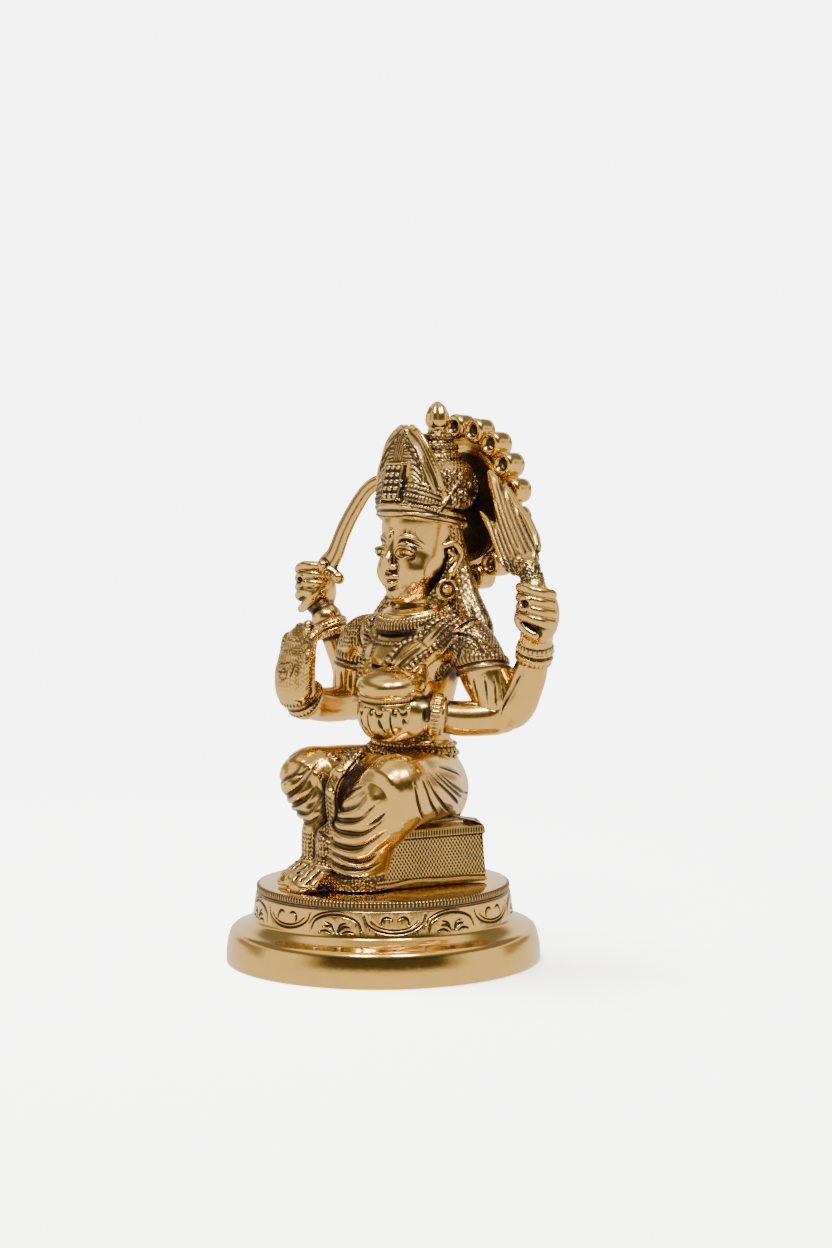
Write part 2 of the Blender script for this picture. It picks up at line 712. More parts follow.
def make_brass(name, settings, polish):
    """Yellow brass with dark patina in its hollows and inked lines, and a fine cast and rubbed surface."""
    material = bpy.data.materials.new(name)
    shade = Shade(material)
    places = shade.signal("ShaderNodeTexCoord", output="Object")
    hollow, ridge = shade.attribute("hollow"), shade.attribute("ridge")
    ink = shade.attribute("ink")
    cast = shade.noise(places, 900.0, 3.0, 0.6)
    cloud = shade.noise(places, 140.0, 2.0)
    recess = (hollow.ramp(0.08, 0.45) + (cast - 0.5) * 1.1 * hollow.ramp(0.02, 0.2)).clamp()
    dark = (recess * settings.patina + ink - ridge * 0.8).clamp()
    tone = shade.blend(cloud, settings.brass, settings.brass_warm)
    stained = shade.blend(dark.ramp(0.0, 0.55), tone, settings.tarnish)
    colour = shade.blend(dark.ramp(0.35, 1.0), stained, settings.dark)
    gloss = settings.roughness + dark * 0.35 + (cast - 0.5) * 0.10 + (1 - polish) * 0.05
    height = cast * 0.35 + cloud * 0.8
    relief = shade.signal("ShaderNodeBump", {"Height": height, "Strength": 0.35, "Distance": 0.00012},
                          output="Normal")
    body = shade.add("ShaderNodeBsdfPrincipled", {
        "Base Color": colour,
        "Metallic": 1.0,
        "Roughness": gloss,
        "Coat Weight": 0.3,
        "Normal": relief,
    })
    shade.finish("ShaderNodeOutputMaterial", body)
    return material


# Shapes shared by several pieces

def ring(x, y, z, half, deep, tilt=0.0, count=14, start=0.0, stop=2 * pi):
    """Points round a level or tilted oval, from a start turn to a stop turn."""
    turns = np.linspace(start, stop, count)
    return [(x + half * cos(a), y + deep * sin(a), z + tilt * sin(a)) for a in turns]


def moved(points, x=0, y=0, z=0):
    return [(a + x, b + y, c + z) for a, b, c in points]


def sided(side, points):
    """Points given for her left, on that side for 1 and on her right for -1."""
    return [(side * x, y, z) for x, y, z in points]


def weave(p, pitch):
    """A fine irregular pattern of rounded grains, from 0 in the gaps to 1 on the grains."""
    q = p * (2 * pi / pitch / 1.25)
    x = q[:, 0] + 0.5 * np.sin(q[:, 1] * 0.37 + 1.0)
    y = q[:, 1] + 0.5 * np.sin(q[:, 2] * 0.41 + 2.0)
    z = q[:, 2] + 0.5 * np.sin(q[:, 0] * 0.33 + 0.5)
    cells = np.sin(x) * np.cos(y) + np.sin(y) * np.cos(z) + np.sin(z) * np.cos(x)
    return np.clip(0.5 + 0.5 * cells, 0, 1)


def stippled(where, pitch=0.9, deep=0.26, dark=1.0):
    """Relief of fine punched pits, as strong as where(places) says."""
    def shape(p):
        strength = where(p)
        pits = ramp(weave(p, pitch), 0.42, 0.72)
        return -deep * pits * strength, dark * pits * strength
    return shape


def folds(clay, lines, width=0.95, deep=0.85, puff=0.5):
    """Hanging folds: a dark tapered groove along each line and a soft swell between each two."""
    even = [thread(line, 8) for line in lines]
    even = [line[np.linspace(0, len(line) - 1, 9).astype(int)] for line in even]
    for upper, lower in zip(even[:-1], even[1:]):
        clay.stroke((upper + lower) / 2, 1.9, puff, taper=0.45, soft=True)
    for line in even:
        clay.stroke(line, width, -deep, ink=1.0, taper=0.5)


# Plinth

def scroll_lines():
    """The scrolls of one repeat of the plinth's band: each line's points (along, up), width and depth."""
    swag = [(sin(a) * 7.9, 5.7 - 5.2 * cos(a) ** 0.8) for a in np.linspace(-1.5, 1.5, 9)]
    inner = [(x * 0.86, 0.8 + z * 0.95) for x, z in swag[1:-1]]
    arch = [(15.35 + sin(a) * 6.9, 0.5 + 4.5 * cos(a) ** 0.8) for a in np.linspace(-1.5, 1.5, 9)]
    outer = [(15.35 + sin(a) * 7.8, 0.7 + 5.1 * cos(a) ** 0.8) for a in np.linspace(-1.3, 0.3, 7)]
    lines = [(swag, 0.34), (inner, 0.24), (arch, 0.4), (outer, 0.26)]
    for side in (-1, 1):
        comma = [(side * (1.5 + 1.5 * sin(a)), 3.4 + 1.5 * cos(a)) for a in np.linspace(-0.7, 2, 5)]
        lines.append(([(x + side * 0.5, z - 0.3) for x, z in comma], 0.36))
        leaf = [(15.6 + side * 0.5, 0.5), (15.6 + side * 1.6, 1.9), (15.6 + side * 3.4, 2)]
        lines.append((leaf, 0.42))
        lines.append(([(15.6 + side * 1.4, 0.3), (15.6 + side * 2.9, 0.9), (15.6 + side * 4.6, 0.6)], 0.34))
        lines.append(([(15.35 + side * 0.4, 0.5), (15.35 + side * 1.2, 2.4), (15.35 + side * 2.8, 3.1)],
                      0.3))
    return lines


def band_relief(along, up, repeat, lines):
    """How deep the engraved band lies below the drum's skin, and how dark, at a place along and up."""
    along = (along + repeat * 0.5 - 0.01) % repeat - repeat * 0.5
    deep = np.zeros(along.shape)
    for points, width in lines:
        line = thread([(x, z, 0) for x, z in points], 4)[:, :2]
        for shift in (-repeat, 0, repeat):
            for i in range(len(line) - 1):
                ax, az = line[i]
                ex, ez = line[i + 1] - line[i]
                wx, wz = along - ax - shift, up - az
                share = np.clip((wx * ex + wz * ez) / (ex * ex + ez * ez), 0, 1)
                off = np.hypot(wx - share * ex, wz - share * ez)
                where = (i + share) / (len(line) - 1)
                wide = width * (0.45 + 0.55 * np.sin(pi * np.clip(where, 0.02, 0.98)))
                deep = np.maximum(deep, 1 - ramp(off / wide, 0.35, 1.15))
    return deep


def make_plinth(material):
    foot, rim, rim_height, step, step_height, drum_foot, drum_top, height = PLINTH.values()
    columns = 864
    turns = np.arange(columns) / columns * 2 * pi
    profile = [(foot - 0.25, 0), (foot, 0.25), (foot, 0.8)]
    for t in np.linspace(0.12, 0.96, 8):
        swell = 0.35 * sin(pi * t)
        profile.append((foot + (rim - foot) * t + swell, 0.8 + (rim_height - 0.8) * t))
    profile += [(rim - 0.02, rim_height - 0.1), (rim - 0.25, rim_height + 0.35)]
    profile += [(rim - 0.7, rim_height + 0.75), (rim - 1.3, rim_height + 0.95)]
    for t in np.linspace(0.2, 1, 7):
        profile.append((rim - 1.3 + (step - rim + 1.7) * t,
                        rim_height + 0.95 + 0.55 * sin(t * pi / 2) + 1 * t ** 3))
    profile += [(drum_foot + 0.5, step_height + 0.4), (drum_foot + 0.12, step_height + 0.9)]
    band_low, band_high = 12.4, 18.4
    for z in np.linspace(step_height + 1.4, 19.1, 50):
        profile.append((drum_foot + (drum_top - drum_foot) * (z - 12) / 8, z))
    profile += [(drum_top - 0.3, 19.25), (drum_top, 19.4), (drum_top + 0.1, 19.9)]
    profile += [(drum_top + 0.02, 20.5), (drum_top - 0.25, 20.8), (drum_top - 0.8, 20.9)]
    profile += [(30, 20.9), (20, 20.9), (8, 20.9)]
    rows, inks = [], []
    repeat = 2 * pi / SCROLLS * drum_top
    first = radians(-46.4 - 43)
    for radius, z in profile:
        inward = np.zeros(columns)
        if band_low - 0.5 < z < band_high + 0.5:
            inward = 0.5 * band_relief((turns - first) * drum_top, np.full(columns, z - band_low), repeat,
                scroll_lines())
        for groove, width in ((18.55, 0.16), (19.02, 0.2)):
            if abs(z - groove) < 0.5:
                inward = np.maximum(inward, 0.3 * exp(-((z - groove) / width) ** 2))
        if 19.3 < z < 20.85:
            inward = inward + 0.34 * (0.5 - 0.5 * np.cos(turns * MILLS))
        rows.append(round_row(turns, radius - inward, z))
        inks.append(np.clip(inward * 3.2, 0, 1))
    corners, faces = closed_wall(rows, (0, 0, 0), (0, 0, height))
    ink = np.concatenate([*inks, [0, 0]])
    obj = make_object("plinth_turned", corners, faces, {"ink": ink, "hollow": ink * 0.3}, material)
    finish_piece(obj, "plinth")


# Seat: a splayed block under a punched cloth with a ribbed hem above and a wavy hem below

def make_seat(material):
    s = SEAT
    middle = (s["front"] + s["back"]) / 2
    length = (s["back"] - s["front"]) / 2
    step = 0.26
    rows, inks = [], []
    corner = 0.9
    levels = np.concatenate([np.arange(FLOOR, 22.6, 0.24), np.arange(22.6, 34.2, step),
        np.arange(34.2, 36.2, 0.24)])
    front, back = middle - length, middle + length
    f, b = s["front_half"], s["back_half"]
    base = np.array([(-f, front), (f, front), (b, back), (-b, back)])
    outline = []
    for before, here, ahead in zip(np.roll(base, 1, axis=0), base, np.roll(base, -1, axis=0)):
        way_in, way_out = unit(here - before), unit(ahead - here)
        start, end = here - way_in * corner, here + way_out * corner
        bend = np.linspace(0, 1, 6)
        outline += [(1 - t) ** 2 * start + 2 * t * (1 - t) * here + t * t * end for t in bend]
        side = np.linalg.norm(ahead - here)
        inner = np.linspace(0, 1, int(side / step) + 1)[1:-1]
        outline += [here + way_out * (corner + (side - 2 * corner) * t) for t in inner]
    outline = np.array(outline)
    tangent = np.roll(outline, -1, axis=0) - np.roll(outline, 1, axis=0)
    normal = np.stack([tangent[:, 1], -tangent[:, 0]], 1)
    normal /= np.linalg.norm(normal, axis=1, keepdims=True)
    run = np.cumsum(np.linalg.norm(outline - np.roll(outline, 1, axis=0), axis=1))
    for row, z in enumerate(levels):
        out = np.zeros(len(outline)) - 0.9 * (z - 22.6) / 11
        ink = np.zeros(len(outline))
        wave = 22.6 + 0.35 * np.sin(run / 5.2) + 0.2 * np.sin(run / 2.7 + 1)
        if z < 23.6:
            lip = 1 - ramp(np.abs(z - wave + 0.25), 0.2, 0.6)
            line = np.exp(-((z - wave - 0.45) / 0.22) ** 2)
            out = out + 0.25 * lip - 0.3 * line - 0.5 * ramp(wave - z, 0.5, 0.9)
            ink = ink + line * 0.9 + 0.4 * ramp(wave - z, 0.5, 0.9)
        if 23.4 < z < 33.9:
            across = run * 2 * pi / 1 + pi * (row // 3 % 2)
            pits = np.clip(0.5 + 0.5 * np.cos(across), 0, 1) * (1 if row % 3 == 1 else 0.6)
            out = out - 0.36 * pits * ramp(z, 23.2, 24.2)
            ink = ink + ramp(pits, 0.25, 0.6)
        if z >= 33.9:
            hem = 0.55 * ramp(z, 33.9, 34.5) - 0.2 * ramp(z, 35.4, 36.2)
            rib = 0.5 + 0.5 * np.cos(run * 2 * pi / 0.8)
            ribs = (1 - rib) * ramp(z, 34.2, 34.7) * (1 - ramp(z, 35.7, 36.2))
            out = out + hem + 0.25 - 0.32 * ribs
            ink = ink + ribs * 0.8
        dark = exp(-((z - 34) / 0.25) ** 2)
        ink = np.clip(ink + dark * 0.9, 0, 1)
        place = outline + normal * out[:, None]
        rows.append(np.column_stack([place, np.full(len(outline), z)]))
        inks.append(ink)
    centre = np.array([0, middle])
    for inset, z in ((0.5, 36.5), (1.2, 36.9), (3.5, 37.9), (8, 39.2)):
        place = outline - normal * (inset + 0.6)
        if inset == 8:
            place = centre + (outline - centre) * 0.5
        rows.append(np.column_stack([place, np.full(len(outline), z)]))
        inks.append(np.full(len(outline), 0.35))
    corners, faces = closed_wall(rows, (0, middle, FLOOR), (0, middle, 39.6))
    ink = np.concatenate([*inks, [0, 0.15]])
    obj = make_object("seat_block", corners, faces, {"ink": ink, "hollow": ink * 0.35}, material)
    finish_piece(obj, "figure")


# Legs under the skirt

def thigh(side):
    x, y, z = KNEE.values()
    return Limb([
        (side * 7, 12.8, 45.5, 9.2, 1.05),
        (side * 11.5, 4.5, 47, 9.6, 1),
        (side * x, y, z, 9.6, 1),
        (side * (x - 0.2), y - 5.2, z - 0.6, 7.6, 1),
        (side * (x - 0.4), y - 7, z - 1.2, 3.6, 1),
    ], blend=3.5)


def make_legs(material):
    x, y, z = KNEE.values()
    clay = Clay((-27.4, -22.6, FLOOR - 0.12), (27.4, 24.4, 59.4), 0.29)
    left_shin = Limb([
        (x + 0.3, y - 1, z + 2, 8, 0.9),
        (x - 3, y - 2.6, z - 5, 9, 0.9),
        (x - 7.6, y - 3.8, z - 11, 8.4, 0.9),
        (x - 11, y - 3.6, z - 18, 8.6, 0.92),
        (x - 12.4, y - 3.2, FLOOR + 1, 9.6, 0.94),
    ], blend=2.5)
    right_shin = Limb([
        (-x - 0.9, y - 1, z + 1.2, 8.2, 1),
        (-x + 2, y - 1.2, z - 3.6, 7.6, 1),
        (-x + 5.4, y - 2.4, z - 9, 5.8, 1),
        (-x + 6.2, y - 3.6, z - 12, 4.8, 1),
        (-x + 6.6, y - 4.2, FLOOR + 6, 4.8, 1),
        (-x + 6.8, y - 4.4, FLOOR + 1, 5.2, 1),
    ], blend=2)
    pelvis = Stack([
        (SEAT["top"] - 1, 0, 12.4, 12.8, 9.9), (42, 0, 12.4, 14.1, 10.4), (49, 0, 12.1, 13.8, 10.4),
        (53.6, 0, 12, 12.6, 9.8), (54.6, 0, 12, 13, 9.9), (58.2, 0, 11.8, 12.4, 9.3),
        (59, 0, 11.8, 11.4, 8.8),
    ], soft=0.5, blend=3)
    lap = Limb([(-1, 4, 50, 8, 0.8), (-1, -5, 44, 9, 0.7), (-1, -8, 34, 9, 0.7), (-1, -8.5, FLOOR, 9, 0.7)],
               blend=2)
    ankles = [
        Limb([(-1.8, -16, 26, 5.4, 0.9), (-1.6, -16.4, 33, 5.2, 0.9)], blend=1),
        Limb([(-10.6, -13.8, 25, 4.8, 1), (-10.6, -13.6, 34, 4.8, 1)], blend=1),
    ]
    inner_knee = Limb([(13, -9, 47.4, 8.4), (9.8, -10.4, 44.4, 8), (6.8, -11.6, 38.5, 8),
                       (4.4, -12, 32, 7.8)], blend=3)
    clay.join([pelvis, thigh(-1), thigh(1), left_shin, right_shin, lap, inner_knee, *ankles])
    left_folds = [
        [(-3, -10.7, 44.3), (3, -14.6, 44.8), (9, -16.5, 47.6), (13, -17.6, 49.4)],
        [(-2.1, -12.2, 41.9), (5, -18, 42), (11, -19.8, 44.1), (16.1, -18.4, 47.9)],
        [(-2.8, -13, 39.4), (3, -18.4, 39.6), (8.8, -20, 40), (13.8, -20.2, 41.3), (18.4, -18.1, 46)],
        [(-3.4, -15, 37.6), (3.8, -19.7, 37.1), (9.9, -21, 36.8), (14.6, -19.6, 37.4), (20.5, -17.3, 42.2)],
        [(-5.7, -14.1, 34.7), (0, -19, 33.8), (9.3, -20.4, 32.9), (14.1, -19.2, 33.9), (20.4, -16.8, 39)],
        [(-5.4, -15.6, 32.7), (4.6, -20.8, 30.9), (10.6, -19.9, 29.3), (13.6, -17.3, 30.2),
         (19.3, -14.7, 36)],
        [(-4.8, -18.8, 29.7), (2.5, -20.7, 28.5), (7.4, -20.5, 27.5), (12.3, -17.9, 27.5),
         (15.4, -13.1, 29.4)],
        [(-4.3, -20.4, 26.9), (1.9, -22, 25.8), (7.7, -20.9, 24.9), (12.8, -16.6, 24.9)],
    ]
    folds(clay, left_folds)
    clay.stroke([(14.8, -19.8, 39.3), (18.6, -19, 41.1), (20.4, -17.6, 43.4)], 0.6, -0.6, ink=1, taper=0.5)
    right_folds = [
        [(-25.4, -6, 49.6), (-22.6, -14, 47.4), (-17.3, -18, 48.3), (-14.8, -17.3, 50.9),
         (-13.4, -15.2, 53.6)],
        [(-25, -6, 45.6), (-22.4, -13.6, 43.6), (-17.5, -18, 44.2), (-14.2, -17.6, 46.1),
         (-11.8, -16.4, 49.5), (-11, -12, 53.8)],
        [(-23.6, -6, 43), (-20.8, -14, 41.6), (-13.3, -18.4, 42.5), (-10.8, -17.3, 44.2),
         (-9.4, -13.5, 50)],
        [(-21.6, -6, 40.8), (-18.4, -14.6, 39.6), (-14.7, -18, 39.6), (-10.4, -17.8, 40),
         (-8.3, -14.1, 44.7)],
        [(-19, -8, 38.6), (-15.6, -15.6, 37.4), (-11.7, -18.4, 37.4), (-9, -17.6, 37.9),
         (-6.6, -15.2, 40.4)],
    ]
    folds(clay, right_folds, 1, 0.75, 0.35)
    clay.stroke([(-24, -9, 52.2), (-20.5, -15.3, 52.9), (-17.3, -14.4, 55.6)], 0.6, -0.35, ink=0.8,
                taper=0.5)
    clay.stroke([(-15.2, -17.4, 49.4), (-13.2, -17, 50.2), (-11.8, -15, 52.6)], 0.5, -0.5, ink=1, taper=0.5)
    clay.stroke([(-11.8, -17.9, 41.2), (-10.3, -17.4, 41.7), (-9, -15.8, 43.2)], 0.9, -0.5, ink=1,
                taper=0.5)
    for side in (-1, 1):
        fan = [
            [(24.3, -12.2, 50.9), (25.4, -11.5, 46.2), (24.6, -9.7, 42.9), (23.4, -7.6, 40.6)],
            [(24.3, -9.7, 51.7), (25.5, -8.6, 48.6), (24.6, -6, 44.3), (18.2, 3.9, 39.5)],
            [(23.8, -7.8, 52), (25.2, -5.5, 47.7), (20.7, 3.3, 42.2), (14.4, 12.1, 38.9)],
            [(23.4, -5.9, 52.4), (23.9, -1.7, 49.1), (19.3, 8.4, 43.7), (14.2, 15.4, 40.4)],
            [(22.8, -3.4, 52.4), (22.8, 0.8, 49.4), (19.4, 10, 44.9), (14.4, 18, 42.4)],
            [(22.3, -1.2, 52.1), (21.8, 4.1, 48.9), (17.8, 12.6, 45.4), (13.6, 20, 44)],
            [(21.6, 0.2, 54), (19.6, 5.6, 52), (16.4, 12.6, 49)],
        ]
        for line in fan:
            clay.stroke(sided(side, line), 0.5, -0.6, ink=1, taper=0.4)
        edge = [(11.8, 2.6, 37.2), (15.1, 5, 38.6), (14.8, 11, 38.9), (11.5, 17.9, 38.4)]
        clay.stroke(sided(side, edge), 0.5, -0.7, ink=1)
    for x in (-8.5, -3, 3, 8.5):
        clay.stroke([(x, 21.5, 52), (x * 1.15, 22.4, 46), (x * 1.25, 22.2, 39)], 0.5, -0.4, ink=0.9,
                    taper=0.4)
    sash = [(1, -9, 56.2), (1, -14.5, 52.3), (-0.1, -17.2, 48.4), (-0.4, -17.9, 44.5), (0.3, -17.8, 41),
            (-0.6, -17.6, 37), (-3.6, -15.9, 33)]
    inner = [(-3.4, -8.6, 55.6), (-3.6, -13.6, 51.6), (-4.2, -16.2, 47.6), (-4, -16.6, 43),
             (-3.6, -16.4, 38.4)]
    clay.join([Limb([(x - 1, y + 1, z, 1.7, 0.8) for x, y, z in sash], blend=0.5),
               Limb([(x + 0.2, y + 1, z, 1.3, 0.8) for x, y, z in inner], blend=0.4)])
    clay.stroke(moved(sash, -1, -0.4), 0.8, 0.4, ink=0.9, pitch=1.2, slant=0.9)
    clay.stroke(moved(sash, -2.9, 0.3), 0.4, -0.5, ink=1)
    clay.stroke(moved(sash, 1.2, 0.7), 0.45, -0.6, ink=1)
    clay.stroke(inner, 0.7, 0.3, ink=0.8, pitch=1, slant=-0.7)
    knots = [(-0.6, -14.8, 51.6, 2), (-3.2, -13.6, 50.8, 1.7), (-1.4, -17.6, 46.6, 1.4)]
    clay.join([Ball(knot[:3], (knot[3], knot[3], knot[3] * 0.8), blend=0.4) for knot in knots])
    hem = [(-10.5, -9, 55.4), (-4, -8.6, 55.6), (1.1, -9.2, 55), (3.4, -6, 55.6), (9, -1.6, 56.4),
           (14, -1, 56.4)]
    clay.stroke(hem, 0.9, 0.45, ink=0.9, pitch=1)
    clay.stroke(moved(hem, 0, -0.9, -0.9), 0.4, -0.4, ink=0.8)

    def apron(p):
        shown = ramp(p[:, 2], 54.4, 55.4) * (1 - ramp(p[:, 1], 2, 5)) * (1 - ramp(np.abs(p[:, 0]), 10, 13))
        skirt = (1 - ramp(p[:, 2], 34, 35.6)) * (1 - ramp(p[:, 0], -6.5, -5)) * (1 - ramp(p[:, 1], -6, -4))
        hem = (1 - ramp(p[:, 2], 24.6, 26.4)) * ramp(p[:, 0], -7, -5)
        inner = (1 - ramp(p @ VIEW_RIGHT, -14.8, -13)) * (1 - ramp(p[:, 2], 40, 43)) * ramp(p[:, 0], -8, -6)
        under = ramp(p[:, 0], 6, 8) * (1 - ramp(p[:, 2], 38.4, 40)) * ramp(p[:, 1], -8, -2)
        return np.maximum.reduce([shown, skirt, hem, inner, under * 0.7])

    clay.press((-20, -24, 21), (22, 20, 59), stippled(apron))
    clay.stroke([(-5, -19.4, 24.4), (0, -22.4, 24), (6, -22, 24), (12, -18, 24.2), (14, -12.4, 24.6)], 0.7,
                0.5, ink=1, pitch=1)
    for low in (54.9, 57.6):
        clay.stroke(ring(0, 11.9, low, 13, 9.9, count=22), 0.5, 0.4, ink=0.9, pitch=0.95)
    clay.stroke(ring(0, 11.9, 56.3, 13, 9.9, count=22), 0.9, 0.35, ink=0.8, pitch=1.7)
    for low in (54.2, 55.5, 57, 58.3):
        clay.stroke(ring(0, 11.9, low, 13, 9.9, count=22), 0.25, -0.25, ink=0.9)
    return clay_piece("skirt_and_legs", clay, material)


def make_feet(material):
    clay = Clay((-17, -30, FLOOR - 0.1), (4.6, -12, 29.6), 0.2)
    for x, y, turn, inner in ((-2, -21, -0.06, -1), (-10.8, -17.6, -0.12, 1)):
        forward = np.array((sin(turn), -cos(turn), 0))
        across = np.array((cos(turn), sin(turn), 0))

        def at(ahead, side, up):
            return np.array((x, y, FLOOR)) + forward * ahead + across * side + np.array((0, 0, up))

        clay.join([
            Limb([(*at(-6, 0, 5.2), 4.2, 0.9), (*at(-1, 0, 3.8), 4.5, 0.8), (*at(3.2, 0, 2.5), 4.6, 0.6),
                  (*at(5.6, 0, 1.6), 3.8, 0.5)], blend=1),
            Limb([(*at(-5.2, 0, 7.5), 4.5, 0.9), (*at(-5, 0, 4.6), 4.7, 0.9)], blend=1),
        ])
        for toe in range(5):
            side = inner * (3.9 - toe * 1.95)
            size = (1.75, 1.4, 1.35, 1.25, 1.15)[toe]
            reach = (8.3, 8.5, 8.1, 7.4, 6.5)[toe]
            clay.join([Limb([(*at(2.6, side * 0.9, 3.1), size * 0.85), (*at(reach - 2, side, 2.3), size),
                             (*at(reach - size, side, 1.45), size)], blend=0.3)])
            if toe < 4:
                gap = side - inner * 0.98
                clay.stroke([at(1.6, gap * 0.8, 4.2), at(4, gap, 3.2), at(6.8, gap, 2)], 0.42, -0.55, ink=1)
        for lift, pitch in ((6, 1.1), (4.6, 0)):
            centre = at(-3.4 + (6 - lift) * 0.9, 0, lift)
            turns = np.linspace(-1.7, 1.7, 9)
            arc = [centre + across * 4.7 * sin(a) + forward * 4.6 * cos(a) * 0.9 for a in turns]
            clay.stroke(arc, 0.6, 0.45, ink=1, pitch=pitch)
    return clay_piece("feet_and_anklets", clay, material)


# Trunk, bust, sleeves and what lies over them

def make_torso(material):
    clay = Clay((-33, -5.6, 57.4), (36.6, 27, 97.6), 0.3)
    trunk = Stack([
        (57.6, 0, 11.8, 11.6, 8.8), (59, 0, 11.8, 11.3, 8.6), (64, 0, 12.6, 11, 8.2),
        (70, 0, 12.2, 12.4, 9),
        (76, 0, 11.9, 14.6, 9.8), (82, 0, 12.2, 17, 9.6), (87, 0, 12.6, 18, 8.6), (90.5, 0, 12.8, 14.5, 8),
        (93, 0, 12.8, 9, 7.4), (95, 0, 13, 5.4, 5.4), (96.4, 0, 13, 4.6, 4.6),
    ], blend=2)
    bust = [Ball((side * 6.6, 5.2, 75.9), (5.7, 5.5, 5.7), blend=1.4) for side in (-1, 1)]
    sleeves = [
        Limb([(15, 12.6, 86, 6.6, 0.95), (21, 13.2, 84.5, 7, 0.95), (25.4, 14.4, 77, 7, 0.95),
              (28.4, 15.8, 70, 6.4, 0.95), (29.4, 16.2, 67, 5.2, 0.95)], blend=2.5),
        Limb([(-15, 12.4, 86, 6.6, 0.95), (-20.4, 12.2, 84.5, 6.8, 0.95), (-24, 12.4, 77, 6.2, 0.95),
              (-26, 12.6, 70, 5.8, 0.95), (-26.4, 12.4, 66.6, 4.6, 0.95)], blend=2.5),
    ]
    collars = [
        Stack([(90.6, 0, 11.6, 11.3, 9.3), (91.4, 0, 11.7, 11.9, 9.8), (92.4, 0, 11.9, 11.7, 9.7),
               (94.4, 0, 12.6, 8.4, 7.8), (95.6, 0, 12.8, 7, 7)], tilt=2, soft=0.3, blend=0.4),
        Stack([(84.4, 0, 10.4, 14, 10.2), (85.4, 0, 10.5, 14.7, 10.8), (86.2, 0, 10.6, 14.8, 10.9),
               (88.4, 0, 11.2, 13.2, 9.7), (90.6, 0, 11.6, 10.6, 8.6)], tilt=5, soft=0.4, blend=0.4),
    ]
    clay.join([trunk, *sleeves, *bust, *collars])
    # Collars: a plain neck ring, beads and a fan of ribs that ends under the cloth
    right_front = (radians(20), radians(292))
    clay.stroke(ring(0, 12.4, 94.3, 8.4, 7.8, 1.8, 18), 0.75, 0.5)
    clay.stroke(ring(0, 12.2, 93.5, 9.8, 8.6, 2, 20), 0.3, -0.35, ink=1)
    clay.stroke(ring(0, 12, 92.8, 10.8, 9.3, 2, 24), 0.6, 0.45, ink=1, pitch=1.1)
    ribs = ((11.3, 11.8, 92.1, 9.6, 2), (12, 11.6, 90.9, 9.9, 2.3), (12.7, 11.3, 89.6, 10.2, 2.8))
    for i in range(30):
        a = radians(176 + i * 5.2)
        rib = [(x * cos(a), y + deep * sin(a), z + lift * sin(a)) for x, y, z, deep, lift in ribs]
        clay.stroke(rib, 0.27, -0.4, ink=0.9)
    clay.stroke(ring(0, 11.2, 88.9, 13.2, 10.2, 3.2, 24, *right_front), 0.55, 0.5, ink=0.8, pitch=1)
    clay.stroke(ring(0, 11, 88, 13.4, 10.2, 3.4, 24, *right_front), 0.3, -0.35, ink=0.9)
    # The bordered cloth from the left shoulder to the waist
    first_edge = [(18.7, 16.9, 94.2), (11.6, 9.4, 91.4), (10.6, 4, 88.2), (5, 2.4, 85.4), (2.4, 0.6, 81),
                  (-1, 1.4, 76.4), (-4.4, 3.6, 66)]
    first_strip = [(18.6, 14.8, 93), (17.2, 8.9, 90.7), (13.2, 3.3, 86.6), (8.8, 0.2, 82), (5, -0.3, 77),
                   (0.4, 2, 70), (-2.2, 3.8, 63)]
    second_edge = [(20.7, 14.5, 91.7), (19.7, 8.3, 89.8), (16.2, 4.6, 86.2), (11.8, 0.7, 81.4),
                   (7.4, -0.2, 76), (2.8, 2.2, 69), (0.2, 3.8, 62)]
    second_strip = [(22.1, 13.8, 90.4), (21.6, 8.2, 88.6), (17.4, 5.6, 84.6), (13.4, 2.6, 80),
                    (10.4, 0.6, 75), (6, 3, 68), (3.4, 4, 62)]
    edges = (first_edge, second_edge)
    clay.stroke(first_strip, 2, 0.7, flat=True)
    clay.stroke(second_strip, 1.9, 0.6, flat=True)
    for line in edges:
        clay.stroke(line, 1.1, 1, ink=0.9, pitch=1.6)
    for line in edges:
        for side in (1, -1):
            clay.stroke(moved(line, side, 0, -0.7 * side), 0.32, -0.4, ink=1)
    for line, shift in ((first_strip, 0), (second_strip, 0.2)):
        clay.stroke(moved(line, shift), 0.5, -0.5, ink=0.9)
    fall = [(22.6, 10, 88), (19, 5.8, 83.4), (15.6, 4.6, 78.8), (13, 4, 73), (8.6, 4.4, 66)]
    clay.stroke(fall, 0.5, -0.55, ink=1)
    # The garland and the strip down the right side
    garland = [(-12.5, 7.6, 90.8), (-12.6, 4, 86), (-10.6, 1.2, 81), (-8.6, -0.2, 76), (-6.6, 1, 70),
               (-4.8, 3.8, 63)]
    clay.stroke(garland, 1.3, 0.95, ink=1, pitch=1.3, slant=0.7)
    strip = [(-6.6, 4.2, 86.9), (-5.3, 1.5, 82.6), (-4.8, 0.6, 77), (-3.2, 2.1, 71), (-2.4, 3.6, 64)]
    clay.stroke(strip, 0.7, 0.5, ink=0.9, pitch=1)
    clay.stroke([(-16.5, 8.6, 88), (-14.9, 4.4, 82), (-13.4, 3.8, 76), (-10.4, 4.2, 69)], 0.5, -0.5, ink=1)
